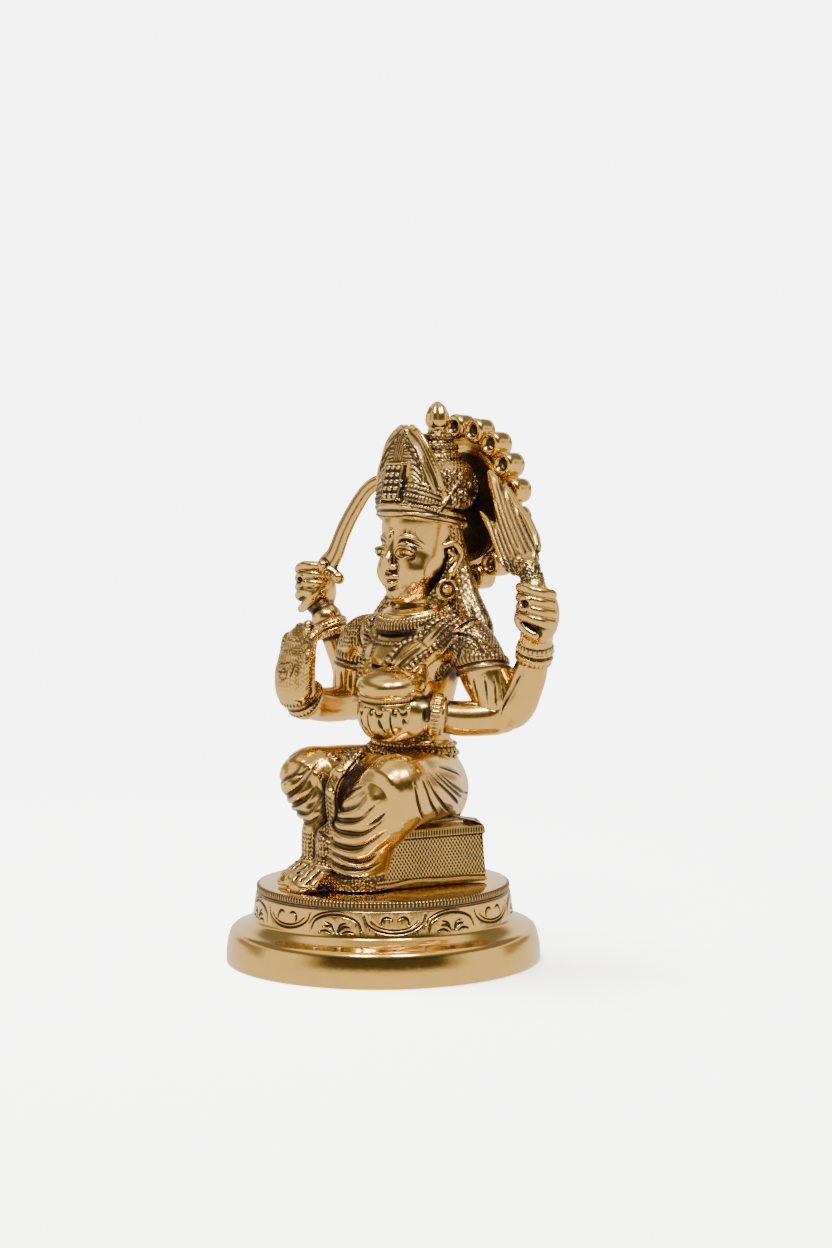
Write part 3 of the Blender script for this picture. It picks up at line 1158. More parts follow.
    # Left sleeve: ribbed border, arch, armlet and pleats
    border = [(20.7, 7.3, 88.6), (21.9, 6.6, 85.4), (20.8, 6.6, 81.9), (17.6, 6.8, 78.2), (15.6, 6.8, 75.6)]
    clay.stroke(border, 1.15, 0.6, ink=1, pitch=1, slant=0.5)
    clay.stroke(moved(border, 1.5), 0.35, -0.35, ink=0.9)
    vein = [(23.4, 8.2, 88.4), (22.8, 7.4, 86), (21.6, 6.8, 83.6)]
    for shift, slant in ((-0.9, 0.9), (0.9, -0.9)):
        clay.stroke([(x + shift, y + shift * 0.3, z) for x, y, z in vein], 0.9, 0.45, ink=1, pitch=0.95,
                    slant=slant, taper=0.3)
    arch = [(21.4, 7, 89), (24.4, 8.8, 88.8), (27.2, 10.4, 86.4), (28.8, 10.8, 83.2)]
    clay.stroke(arch, 0.45, 0.45, ink=0)
    clay.stroke(moved(arch, -0.3, 0, -0.9), 0.35, -0.4, ink=1)
    right_band = [(-16, 8, 78.6), (-20.4, 6.4, 80.2), (-25.6, 7.2, 81.2), (-29, 11.4, 81.8),
                  (-29.2, 16, 81.2), (-25, 19.6, 80), (-20, 19, 78.8), (-16.6, 16, 78)]
    left_band = [(15.6, 7.6, 77.6), (20.4, 7, 80.2), (26.6, 8.4, 82.4), (30.4, 12.6, 82.8), (30.8, 18, 82),
                 (27, 21.6, 80.4), (21, 20.6, 78.4), (17, 17, 77)]
    for band in (right_band, left_band):
        for drop, width, rise, pitch in ((0, 1.15, 0.6, 1.1), (1.6, 0.3, -0.35, 0), (3.1, 0.7, 0.6, 0)):
            clay.stroke(moved(band, 0, 0, -drop), width, rise, ink=0.9, pitch=pitch)
    for x, y, top, low in ((24, 8.6, 77, 70.6), (26.4, 8.8, 78, 69.4), (29.5, 9.3, 78.4, 69),
            (31.4, 10.8, 78.4, 68), (33, 12.5, 78, 67.6)):
        clay.stroke([(x, y, top), (x + 0.6, y + 0.2, (top + low) / 2), (x + 0.4, y + 0.6, low)], 0.4, -0.4,
                    ink=0.55, taper=0.4)
    for x in (-29, -26.6, -23.6, -20.6):
        clay.stroke([(x, 7.4, 77), (x - 0.4, 7.2, 73), (x - 0.6, 7.6, 69)], 0.45, -0.4, ink=0.9, taper=0.3)
    for x, y in ((24, 21.8), (28, 21.6), (32, 19.6), (-22, 19), (-26, 19.4), (-30, 17)):
        clay.stroke([(x, y, 77), (x + 0.3, y, 73), (x + 0.5, y - 0.5, 68.6)], 0.45, -0.4, ink=0.9,
                    taper=0.3)

    def dotted(p):
        x, y, z = p.T
        sleeve = ramp(np.abs(x), 14, 17) * ramp(z, 82.6, 83.6)
        belly = (1 - ramp(z, 64, 68)) * (1 - ramp(np.abs(x), 9, 12)) * (1 - ramp(y, 8, 12))
        back = ramp(y, 15, 18) * 0.8 * (1 - ramp(np.abs(x), 14, 18))
        return np.maximum.reduce([sleeve, belly, back])

    clay.press((-33, -5, 57), (36, 27, 93), stippled(dotted))
    clay.stroke([(-11.2, 6.8, 60.2), (-6, 3.4, 60.6), (0, 2.6, 60.8), (6, 3.4, 60.6), (11.2, 6.8, 60.2)],
                0.7, 0.5, ink=0.9, pitch=1.1)
    return clay_piece("torso_and_sleeves", clay, material)


# Arms and hands

def cuff(clay, limb, start, stop, grow, rows):
    """A bangle on a limb from one share of its length to another, with rows of beads or plain rings."""
    middle = [limb.hoop(start + (stop - start) * t, 0, 2)[0] for t in (0, 0.33, 0.67, 1)]
    size = limb.radius_at((start + stop) / 2) * grow
    clay.join([Limb([(*middle[0], size * 0.9), (*middle[1], size), (*middle[2], size),
                     (*middle[3], size * 0.9)],
                    square=True, blend=0.3)])
    for t, width, rise, pitch in rows:
        hoop = limb.hoop(start + (stop - start) * t, grow, 15)
        clay.stroke(hoop, width, rise, ink=0.9, pitch=pitch)


def finger(points, size, tip=0.75, blend=0.35):
    """A finger whose stops run from its root to its tip."""
    sizes = np.linspace(size, size * tip, len(points))
    return Limb([(*p, s) for p, s in zip(points, sizes)], blend=blend)


def fist(clay, side, x, y, z):
    """A closed hand seen from its knuckles: four fingers curl round what it holds."""
    clay.join([Ball((x, y, z - 0.6), (5.2, 4.9, 7.6), blend=1.2)])
    for i in range(4):
        rise = z + 6 - i * 2.5
        clay.join([finger([(x + side * 4.7, y - 0.8, rise - 1.4), (x + side * 3.6, y - 4, rise - 0.7),
                           (x + side * 0.6, y - 5.4, rise + 0.3), (x - side * 2.6, y - 4.7, rise + 0.5),
                           (x - side * 4.4, y - 2, rise)], 1.5, 0.9, blend=0.3)])
        clay.stroke([(x + side * 4, y - 3.6, rise - 2.2), (x + side * 0.6, y - 5.6, rise - 1),
                     (x - side * 3, y - 4.8, rise - 0.8)], 0.5, -0.5, ink=1, taper=0.4)
    clay.join([finger([(x - side * 3.4, y - 2.4, z + 1), (x - side * 3, y - 4.4, z - 1.8),
                       (x - side * 0.4, y - 5, z - 4.4), (x + side * 2.2, y - 4.6, z - 5.8)], 2, 0.6,
                       blend=0.3)])
    clay.stroke([(x + side * 4.2, y - 3.4, z - 3.4), (x + side * 1, y - 5.4, z - 2.6),
                 (x - side * 1.6, y - 5.6, z - 0.6)],
                0.6, -0.7, ink=1, taper=0.4)
    clay.stroke([(x + side * 1.4, y - 4.6, z - 7), (x - side * 1.6, y - 4.6, z - 5.4),
                 (x - side * 3.8, y - 3.6, z - 2.6)],
                0.5, -0.6, ink=1, taper=0.4)
    boss = clay.settle([(x + side * 0.6, y - 6.4, z + 2.4)])[0]
    clay.stroke(ring(boss[0], boss[1], boss[2], 1.7, 0.1, 1.7, 9), 0.4, 0.35, ink=0.3)
    clay.join([Ball(boss, 0.9, blend=0.2, cut=True, ink=1)])


def make_left_arms(material):
    clay = Clay((4.6, -14, 59.4), (51, 26, 103.6), 0.29)
    front = Limb([(31.5, 18, 67.6, 4.2, 0.95), (28, 14.8, 66.4, 5.2, 0.95), (22, 8.8, 65.8, 5, 0.95),
                  (17, 3.8, 66.8, 4.4, 0.95), (13, 0.4, 68, 3.6, 0.95)], blend=1.6)
    back = Limb([(27.5, 15.6, 66.6, 4.6, 1), (32.8, 17.4, 69.2, 5.3, 1), (35.8, 18.6, 75.4, 4.9, 1),
                 (38.4, 18.8, 82, 4.2, 1), (41, 17.4, 89, 4.4, 1)], blend=1.6)
    clay.join([front, back])
    clay.stroke([(39.9, 13.9, 80.7), (36.4, 13.9, 75.2), (33.8, 12.8, 69.9), (32.3, 12.3, 66.3)], 0.45,
                -0.5, ink=0.7, taper=0.4)
    clay.stroke([(20.8, 5.2, 70.1), (27.4, 9.8, 70.2), (32, 12, 67.9)], 0.45, -0.4, ink=0.6, taper=0.4)
    cuff(clay, back, 0.72, 0.9, 1.16, [(0.1, 0.7, 0.45, 1.15), (0.36, 0.4, 0.3, 0), (0.52, 0.3, -0.3, 0),
                                      (0.7, 0.4, 0.3, 0), (0.92, 0.7, 0.45, 1.15)])
    cuff(clay, front, 0.66, 0.84, 1.24, [(0.08, 0.4, 0.3, 0), (0.5, 1.5, 0.5, 1.15), (0.92, 0.4, 0.3, 0)])
    clay.join([Ball((13.4, -1, 67.6), (3.6, 4, 4.4), blend=1.2)])
    clay.join([Limb([(15, 1, 66.8, 4, 0.9), (13.4, -2.6, 64.4, 3.6, 0.8), (10.4, -5.4, 61.8, 2.6, 0.7),
                     (6.4, -6.4, 60.6, 1.8, 0.7)], wide=(0, 0, 1), blend=1)])
    clay.join([Ball((18.6, -1.4, 67.6), (1, 1.3, 2.3), blend=0.3, cut=True, ink=1)])
    clay.join([finger([(14.6, 1.6, 70), (15, -0.6, 72), (15.2, -3, 73)], 1.6, 0.7)])
    fist(clay, 1, 43.7, 15.8, 94.6)
    return clay_piece("left_forearms_and_hands", clay, material)


def make_right_arms(material):
    clay = Clay((-48.6, -15.4, 60.4), (-15.6, 24, 107.8), 0.29)
    front = Limb([(-26.2, 14.4, 67, 4.4, 1), (-25.6, 8, 66.8, 5, 1), (-24.8, 0, 67.2, 4.8, 1),
                  (-24.2, -5.4, 69, 4.8, 1), (-24, -8, 72.4, 4.7, 0.9)], blend=1.6)
    back = Limb([(-26.5, 13.6, 66.4, 4.6, 1), (-30.4, 15.6, 69, 3.7, 1), (-33.4, 15.6, 77, 3.1, 1),
                 (-36, 14.6, 85, 3.3, 1), (-37.4, 13.6, 90, 4.4, 1)], blend=1.6)
    palm = Limb([(-24, -7.6, 68, 4.8, 0.85), (-24.2, -9.8, 71.6, 6.6, 0.68), (-24, -10.2, 76, 7.1, 0.58),
                 (-23.8, -9.6, 80.4, 6.9, 0.48), (-23.8, -8.8, 83.4, 6.4, 0.43)], blend=1.2)
    clay.join([front, back, palm])
    tops = ((4.9, 89.2, 1.85), (1.65, 91.4, 1.95), (-1.7, 90.6, 1.9), (-5, 87.8, 1.75))
    for across, top, size in tops:
        x = -23.7 + across
        clay.join([finger([(x, -9.6, 79.6), (x, -9.4, 82.6), (x + 0.05, -8.4, 86),
                           (x + 0.1, -6.9, top - size)],
                          size, 0.85, blend=0.2)])
        for z, y in ((82.2, -10.6), (85.4, -9.9)):
            clay.stroke([(x - 0.9, y, z), (x, y - 0.3, z - 0.1), (x + 0.9, y, z)], 0.16, -0.2, ink=0.8)
    clay.join([finger([(-21.6, -9, 70.6), (-18.9, -10.6, 74.4), (-18, -11, 78.6), (-17.9, -10.8, 81.6)], 2,
                      0.68, blend=0.6)])
    clay.join([Ball((-21.4, -11.2, 73.6), (2.4, 1.8, 3.2), blend=1),
               Ball((-26.6, -11, 73.4), (2.2, 1.6, 3.4), blend=1)])
    for line in ([(-22.1, -14, 75), (-20.9, -14, 77.4), (-20.6, -13, 79.6)],
                 [(-27.6, -13, 77.6), (-24.6, -14, 76.8), (-21.6, -13.6, 78.2)],
                 [(-27.8, -13, 79.6), (-24.8, -13.8, 79.4), (-22, -13, 80.4)]):
        clay.stroke(line, 0.22, -0.28, ink=0.8, taper=0.3)
    clay.press((-33, -16, 64), (-17, -4, 92), stippled(lambda p: 0.45 * ramp(p[:, 2], 70, 74)))
    boss = clay.settle([(-24.4, -14.5, 76.4)])[0]
    clay.stroke(ring(boss[0], boss[1], boss[2], 1.5, 0.1, 1.5, 9), 0.2, -0.2, ink=0.8)
    for side in (-1, 1):
        clay.stroke([(-24 + side * 4, -8, 66.5), (-24 + side * 4.4, -10.6, 69),
                     (-24 + side * 1, -13.4, 70.4)], 0.3, -0.3, ink=0.6, taper=0.4)
    cuff(clay, front, 0.76, 0.94, 1.1, [(0.1, 0.6, 0.45, 1.05), (0.36, 0.35, -0.3, 0), (0.54, 0.4, 0.3, 0),
                                       (0.9, 0.6, 0.45, 1.05)])
    cuff(clay, back, 0.76, 0.97, 1.38, [(0.08, 0.6, 0.4, 1.1), (0.3, 0.4, 0.35, 0), (0.45, 0.3, -0.35, 0),
                                       (0.6, 0.4, 0.35, 0), (0.92, 0.6, 0.4, 1.1)])
    fist(clay, -1, -40.6, 13.4, 98.6)
    return clay_piece("right_forearms_and_hands", clay, material)


# Bowl: a round pot tipped a little towards the front, heaped to its rim

def bowl_lines():
    """One repeat of the bowl's relief: a curl over a long groove, a drop and a scalloped edge."""
    turns = np.linspace(0, 3.2, 9)
    curl = [(0.2 + (1.25 - 0.3 * a) * cos(a * 1.8), 7.4 + (1.25 - 0.3 * a) * sin(a * 1.8)) for a in turns]
    return [
        (curl, 0.34), ([(-1.2, 7.6), (-1.3, 4.4), (-0.7, 1)], 0.34),
        ([(1.6, 7), (2.6, 6.6), (3.4, 7.4)], 0.5),
        ([(2.2, 5.6), (2.5, 4.4), (3.1, 3.2)], 0.62), ([(3.1, 3.2), (3.6, 2)], 0.26),
        ([(-3.2, 8.4), (-1.8, 8.9), (-0.4, 8.5)], 0.3),
    ]


def make_bowl(material):
    b = BOWL
    height = b["rim"] - b["low"]
    anchors = [(0, 0), (0.36, 0), (0.62, 0), (0.8, 0.1), (0.9, 0.22), (0.985, 0.4), (1, 0.52), (0.99, 0.68),
               (0.96, 0.8), (0.91, 0.88), (0.885, 0.91), (0.905, 0.94), (0.935, 0.975), (0.94, 1.01),
               (0.915, 1.04),
               (0.885, 1.03), (0.875, 1.01), (0.9, 1.05), (0.955, 1.15), (0.93, 1.28), (0.8, 1.4),
               (0.56, 1.48), (0.28, 1.52), (0.1, 1.525)]
    line = thread([(r * b["radius"], 0, z * height) for r, z in anchors], 6)
    columns = 252
    turns = np.arange(columns) / columns * 2 * pi
    repeats = 9
    repeat = 2 * pi * b["radius"] / repeats
    rows, inks = [], []
    for radius, _, up in line[1:]:
        inward = np.zeros(columns)
        if 0.1 * height < up < 0.84 * height:
            inward = 0.5 * band_relief(turns * b["radius"], np.full(columns, up - 0.12 * height), repeat,
                bowl_lines())
        if 0.9 * height < up < 1 * height and radius > 0.83 * b["radius"]:
            inward = 0.12 * (0.5 - 0.5 * np.cos(turns * 60))
        rows.append(round_row(turns, np.maximum(radius - inward, 0.05), up - height))
        dark = exp(-((radius / b["radius"] - 0.885) / 0.02) ** 2 - ((up / height - 0.91) / 0.03) ** 2)
        dark += exp(-((radius / b["radius"] - 0.87) / 0.02) ** 2 - ((up / height - 1.03) / 0.03) ** 2)
        inks.append(np.clip(np.maximum(inward, 0) * 2.4 + 0.7 * dark, 0, 1))
    corners, faces = closed_wall(rows, (0, 0, -height), (0, 0, rows[-1][0, 2]))
    lean, roll = b["lean"], b["roll"]
    x, y, z = corners.T
    y, z = y * cos(lean) - z * sin(lean), y * sin(lean) + z * cos(lean)
    x, z = x * cos(roll) + z * sin(roll), -x * sin(roll) + z * cos(roll)
    corners = np.stack([x + b["x"], y + b["y"], z + b["rim"]], 1)
    ink = np.concatenate([*inks, [0, 0]])
    obj = make_object("bowl_and_offering", corners, faces, {"ink": ink, "hollow": ink * 0.3}, material)
    finish_piece(obj, "figure")


# Head

def make_head(material):
    h = HEAD
    clay = Clay((-14.6, 1, 91), (14.6, 27.4, 122.4), 0.22)
    z = h["z"]
    skull = Stack([
        (z - 11.6, 0, h["y"] - 5.6, 2.6, 2.4), (z - 10.6, 0, h["y"] - 4.6, 4.8, 4.8),
        (z - 8, 0, h["y"] - 2.8, 7.2, 7.6),
        (z - 4, 0, h["y"] - 0.8, 9, 10), (z, 0, h["y"], 9.9, 11.2), (z + 5, 0, h["y"] + 0.2, 10.1, 11.2),
        (z + 10, 0, h["y"] + 0.3, 10.1, 11.2), (z + 14, 0, h["y"] + 0.4, 9.3, 10.3),
    ], soft=1.1, blend=1)
    neck = Limb([(0, 13.2, 90, 6.2), (0, 13.3, 96, 5.7), (0, 13.6, 103, 6)], blend=1.6)
    clay.join([skull, neck])
    features = []
    for side in (-1, 1):
        features.append(Ball((side * 5, 8.2, 104.4), (3.8, 3.6, 3.8), blend=3))
        features.append(Ball((side * 4.3, 1.4, 110), (3.6, 2.5, 2.3), blend=1.6, cut=True))
    features.append(Ball((0, 6.4, 98.8), (2.8, 2.6, 2.2), blend=2.2))
    features.append(Limb([(0, 4.4, 113.2, 0.9), (0, 3.4, 109.8, 1.15), (0, 2, 106.6, 1.6),
                          (0, 3.2, 105.2, 1.3)], blend=0.9))
    for side in (-1, 1):
        features.append(Ball((side * 1.6, 3.5, 105.7), (1.1, 1.4, 1), blend=0.4))
        features.append(Ball((side * 4.4, 5.5, 109.9), (3.2, 1.8, 1.7), swing=-side * 0.28, blend=0.5))
    upper = [(-3.1, 5, 102.4, 0.4), (-1.3, 3.4, 103.1, 0.85), (0, 3.3, 102.8, 0.8), (1.3, 3.4, 103.1, 0.85),
             (3.1, 5, 102.4, 0.4)]
    lower = [(-2.5, 4.7, 101.7, 0.4), (0, 3.3, 101.1, 1.1), (2.5, 4.7, 101.7, 0.4)]
    features += [Limb(upper, wide=(0, 0, 1), blend=0.4), Limb(lower, wide=(0, 0, 1), blend=0.4)]
    clay.join(features)
    clay.join([Ball((side * 0.85, 2.9, 104.75), (0.5, 0.75, 0.4), blend=0.2, cut=True,
                    ink=1) for side in (-1, 1)])
    clay.stroke([(-3.3, 4.8, 102.3), (-1.2, 3, 102.2), (0, 2.8, 101.95), (1.2, 3, 102.2),
                 (3.3, 4.8, 102.3)], 0.3, -0.5, ink=1, taper=0.2)
    clay.stroke([(-1.6, 4.4, 99.8), (0, 3.6, 99.5), (1.6, 4.4, 99.8)], 0.35, -0.3, ink=0.5, taper=0.4)
    brow_and_lids = [
        ([(1.5, 3.4, 112.4), (4, 3.2, 114), (6.8, 4.6, 113.7), (9.2, 7.8, 111.6)], 0.6, 0.55, 0, 0.35),
        ([(1.8, 3.4, 111.5), (4, 3.2, 113), (6.6, 4.6, 112.7), (9, 7.8, 110.6)], 0.34, -0.4, 0.9, 0.35),
        ([(1.4, 3.6, 109.4), (2.9, 2.8, 111.2), (4.8, 2.8, 111.9), (6.8, 3.8, 111), (8.4, 6, 109.6)],
         0.42, 0.5, 0, 0.25),
        ([(1.6, 3.6, 109.5), (3, 2.8, 110.6), (4.8, 2.8, 111.2), (6.6, 3.8, 110.3), (8, 5.8, 109.3)],
         0.27, -0.4, 1, 0.2),
        ([(1.6, 3.6, 109.2), (3.2, 3, 108.2), (5, 3, 107.9), (7.2, 4.8, 108.8)], 0.36, 0.4, 0, 0.3),
        ([(1.8, 3.6, 109.3), (3.2, 3, 108.7), (5, 3, 108.4), (7.2, 4.8, 109.2)], 0.24, -0.35, 1, 0.2),
    ]
    for side in (-1, 1):
        for line, width, rise, ink, taper in brow_and_lids:
            clay.stroke(sided(side, line), width, rise, ink=ink, taper=taper)
        iris = clay.settle([(side * 4.5, 2.6, 109.9)])[0]
        clay.stroke(ring(iris[0], iris[1], iris[2], 0.8, 0.05, 0.8, 9), 0.2, -0.22, ink=1)
        clay.join([
            Limb([(side * 10, 14.2, 111.4, 0.8), (side * 11, 16.6, 112, 0.95),
                  (side * 11.8, 18.2, 109.6, 1),
                  (side * 11.6, 17.2, 106.8, 0.95), (side * 11.2, 15.6, 104.6, 1.1)], blend=0.5),
            Limb([(side * 10.6, 15.2, 109.8, 0.7), (side * 11.3, 16.4, 108.6, 0.75),
                  (side * 11, 15.2, 107, 0.65)], blend=0.25),
            Ball((side * 11.3, 15.2, 103.9), (1.2, 1.3, 1.2), blend=0.3),
        ])
        axis = (side * 0.913, -0.408, 0)
        disc = [(0, -0.9), (2.9, -0.9), (3.15, -0.1), (3.05, 0.6), (2.6, 0.9), (2.2, 0.75), (2.05, 0.3),
                (1.7, 0.3), (1.5, 0.85), (1, 1.5), (0, 1.8)]
        clay.join([Turned(disc, (side * 10.7, 14, 99.6), axis, blend=0.12)])
        clay.join([Limb([(side * 11.2, 14.4, 103.6, 0.7), (side * 11.3, 14, 102.2, 0.7)], blend=0.2)])
    clay.join([Ball((0, 3.5, 115), (0.95, 0.7, 0.95), blend=0.15)])
    clay.stroke(ring(0, 3, 115, 1.5, 0.1, 1.5, 11), 0.22, 0.22)
    clay.stroke(ring(0, 3, 115, 1.1, 0.1, 1.1, 11), 0.16, -0.2, ink=0.9)
    for low in (96, 93.9):
        clay.stroke(ring(0, 13.2, low, 5.9, 5.9, 0.8, 13, pi, 2 * pi), 0.3, -0.3, ink=0.5, taper=0.3)
    return clay_piece("head_and_ear_discs", clay, material)


def make_hair(material):
    clay = Clay((-27, 7.4, 78.6), (27, 29.6, 120.2), 0.3)
    back = Stack([(84, 0, 17, 15.6, 6.2), (92, 0, 17.4, 13, 6.6), (98, 0, 18, 10.4, 7.2),
                  (106, 0, 18.4, 9.8, 7.8),
                  (116, 0, 17.6, 9.6, 8.6), (118, 0, 17.4, 9, 8.2)], soft=1.5, blend=1)
    locks = [Limb([(side * 7.4, 18.2, 118, 3.3, 1.1), (side * 8.6, 19.6, 107, 3.7, 1.1),
                   (side * 12.6, 19.6, 97, 4.1, 1),
                   (side * 18.4, 18.4, 89.4, 4.3, 0.9), (side * 21.4, 17.2, 83, 3.6, 0.8)],
                   blend=1) for side in (-1, 1)]
    clay.join([back, *locks])
    for side in (-1, 1):
        for shift in (-2.6, 0.2, 2.8):
            line = [(side * (10.6 + shift * 0.2), 16.4 + shift, 111),
                    (side * (12.4 + shift * 0.2), 16.4 + shift, 104),
                    (side * (15.4 + shift * 0.3), 15.8 + shift, 96),
                    (side * (20.4 + shift * 0.5), 14.6 + shift, 90),
                    (side * (24.4 + shift * 0.4), 14.2 + shift, 84)]
            clay.stroke(line, 0.5, 0.4, ink=0)
            clay.stroke(moved(line, 0, 0.9), 0.35, -0.4, ink=0.9)
    for i in range(-5, 6):
        clay.stroke([(i * 1.7, 27, 116), (i * 1.75, 26.4, 106), (i * 1.9, 25, 98), (i * 2.7, 24.4, 86)],
                    0.4, -0.4, ink=0.9)
    clay.press((-27, 7, 78), (27, 30, 120), stippled(lambda p: 0.9 + 0 * p[:, 0], 1))
    return clay_piece("hair", clay, material)


# Crown

def crown_leaf():
    c = CROWN
    rows = []
    for t in np.linspace(0, 1, 18):
        z = 119.5 + (c["peak"] - 119.5) * t
        arch = sqrt(max(0, 1 - max(0, (z - 124) / (c["peak"] + 0.4 - 124)) ** 2))
        front = c["y"] - c["radius"] + 0.5 + 4.2 * t + 2.4 * t ** 6
        middle = c["y"] - 3 + (9.4 - c["y"] + 3) * t
        back = c["y"] + 2 + (11 - c["y"] - 2) * t ** 1.4
        rows.append((z, 0, middle, (c["radius"] - 0.5) * max(0.06, arch), middle - front, back - middle))
    return Stack(rows, soft=0.4, blend=0.4)


def make_crown(material):
    c = CROWN
    clay = Clay((-14.2, 1, 112.6), (14.2, 32.4, 151.4), 0.235)
    band = Stack([
        (117, 0, c["y"], 10.9, 11.5), (117.9, 0, c["y"], 11.9, 12.5), (118.7, 0, c["y"], 11.9, 12.5),
        (119.1, 0, c["y"], 11.4, 12), (119.5, 0, c["y"], 11.9, 12.5), (120.5, 0, c["y"], 11.9, 12.5),
        (121.2, 0, c["y"], 11.3, 12),
    ], tilt=c["tilt"], soft=0.25, blend=0.3)
    sizes = [(12, 121.2), (12.3, 124), (12.4, 127), (12, 129.6), (11.2, 131.8), (9.8, 133.4), (8.4, 134.2),
             (7, 134.5), (6.9, 136.2),
             (5.7, 136.8), (5.9, 138.9), (4.5, 139.4), (4.7, 141.5), (2.7, 142.1), (2.5, 143.4), (3, 144),
             (3.4, 145.2), (3.1, 147.2), (2.2, 149), (1.1, 150.1), (0.4, 150.6)]
    rows = []
    for size, z in sizes:
        shift = float(ramp(z, 126, 138))
        rows.append((z, 0, c["y"] + 2.4 + (21.4 - c["y"] - 2.4) * shift, size - 0.2, size))

    def facets(turn, z, p):
        return 0.22 * np.cos(6 * turn) * ramp(z, 143.6, 144.6), np.zeros(len(p), np.float32)

    body = Stack(rows, soft=0.22, blend=0.5, fold=facets)
    plaque = Plate([(-3.6, 0), (3.6, 0), (3.6, 10.6), (-3.6, 10.6)], 2.4,
                   (0, c["y"] - c["radius"] + 1.3, 123.4), (1, 0, 0), (0, 0.2, 1), edge=0.3, blend=0.2)
    stem = Limb([(0, 20, 128.4, 6.6), (0, 30.6, 126.2, 6.6)], square=True, blend=1)
    fins = [Limb([(side * 8.4, c["y"] - 7.6, 124.4, 1.2, 2.6), (side * 11, c["y"] - 3, 123.8, 1.2, 3),
                  (side * 12, c["y"] + 2, 123, 1, 1.4)], blend=0.8) for side in (-1, 1)]
    clay.join([body, stem, crown_leaf(), *fins, plaque, band])
    for side in (-1, 1):
        inner_edge = sided(side, [(0.4, 7.4, 143.2), (4.3, 7.2, 139.6), (6.8, 7.2, 136.3),
            (8.9, 7.6, 132.6), (10.1, 8.4, 129.6), (11, 9.2, 126.6)])
        outer_edge = sided(side, [(1.9, 9.8, 143.4), (4.7, 9.6, 142), (7.6, 9.6, 138.8), (9.8, 10, 134.7),
            (11.1, 10.9, 131), (11.8, 12, 126.4)])
        pairs = zip(inner_edge, outer_edge)
        between = [((a[0] + b[0]) / 2, (a[1] + b[1]) / 2 - 0.2, (a[2] + b[2]) / 2) for a, b in pairs]
        clay.stroke(between, 0.6, -0.6, ink=0.7)
        clay.stroke(inner_edge, 0.5, 0.5)
        clay.stroke([(x * 0.93, y, z - 0.5) for x, y, z in inner_edge], 0.25, -0.3, ink=1)
        clay.stroke(outer_edge, 0.55, 0.5)
        for i in range(13):
            z = 130 + i * 0.78
            reach = 11.2 * sqrt(max(0.01, 1 - ((z - 122) / 22.4) ** 2)) - 1.2
            start = 4.3 if z < 134.4 else 2.2
            if reach > start + 0.8:
                clay.stroke(sided(side, [(start, 4.6, z + 1.2), ((start + reach) / 2, 5.2, z + 0.6),
                    (reach, 6.6, z - 2.2)]), 0.24, -0.3, ink=1)
        for low, width, rise, pitch in (
                (128.9, 0.3, 0.35, 0), (127.7, 0.5, 0.4, 0.95), (126.5, 0.3, 0.35, 0),
                (125.2, 0.5, 0.4, 0.95), (124, 0.3, 0.35, 0), (122.9, 0.45, 0.35, 0.9)):
            across = [(4.4, 4.2, low), (7.6, 5.6, low - 0.5), (10.4, 8.6, low - 1.6),
                      (11.8, 11.2, low - 2.6)]
            under = [(4.4, 4.2, low - 0.6), (7.6, 5.6, low - 1.1), (10.4, 8.6, low - 2.2),
                     (11.8, 11.2, low - 3.2)]
            clay.stroke(sided(side, across), width, rise, ink=0.95, pitch=pitch)
            clay.stroke(sided(side, under), 0.2, -0.25, ink=1)
        curl = sided(side, [(11.4, 10.6, 121.6), (12, 12.1, 123.2), (12.4, 13.9, 125.1),
                            (12.2, 16.2, 127.3), (11.6, 19, 129)])
        clay.stroke(curl, 0.6, 0.6)
        clay.stroke(moved(curl, 0, 0.8, -0.6), 0.3, -0.4, ink=1)
        for place, size in (((12, 18.2, 129.9), 1.6), ((12.2, 19.1, 125.2), 2), ((11.4, 14.6, 129.4), 1.2),
                            ((12.6, 14.8, 123.4), 1.5), ((11.9, 22.8, 123), 1.3),
                            ((11.4, 22.4, 127.6), 1.2)):
            seat = clay.settle(sided(side, [place]))[0]
            clay.join([Ball(seat, (size * 0.7, size * 0.8, size), blend=0.12)])
        rosette = clay.settle(sided(side, [(10.9, 22, 116.4)]))[0]
        clay.join([Ball(rosette, 0.9, blend=0.12)])
        for spin in range(8):
            a = spin * pi / 4
            petal = clay.settle([(rosette[0], rosette[1] + 1.5 * cos(a), rosette[2] + 1.5 * sin(a))])[0]
            clay.join([Ball(petal, 0.55, blend=0.1)])
    for x in (-1.8, -0.9, 0, 0.9, 1.8):
        clay.stroke([(x * 0.8, 6.4, 134.6), (x, 7.2, 138.4), (x * 0.9, 8.4, 141.6)], 0.22, -0.25, ink=1)
    plaque_y = 3.1
    for x in (-3.1, 3.1):
        clay.stroke([(x, plaque_y, 123.8), (x, plaque_y + 1, 128.6), (x, plaque_y + 2, 133.4)], 0.3, 0.3)
    for z, y in ((123.9, plaque_y), (133.5, plaque_y + 2)):
        clay.stroke([(-3.1, y, z), (0, y, z), (3.1, y, z)], 0.3, 0.3)
    clay.press((-3, 1.4, 124.2), (3, 7.2, 133.2), lambda p: (-0.25 + 0 * p[:, 0], 0.75 + 0 * p[:, 0]), 1)
    for row in range(5):
        for column in (-1, 0, 1):
            z = 125 + row * 1.85
            size = 1 if column == 0 and row % 2 else 0.8
            clay.join([Ball((column * 1.9, plaque_y + 0.05 + (z - 123.9) * 0.208, z),
                            (size, size, size * 0.95), blend=0.06)])
    for low, width, rise in ((119.1, 0.28, -0.35), (121.3, 0.3, -0.4), (116.9, 0.3, -0.35)):
        clay.stroke(ring(0, c["y"], low, 12.2, 12.7, c["tilt"], 26), width, rise, ink=1)
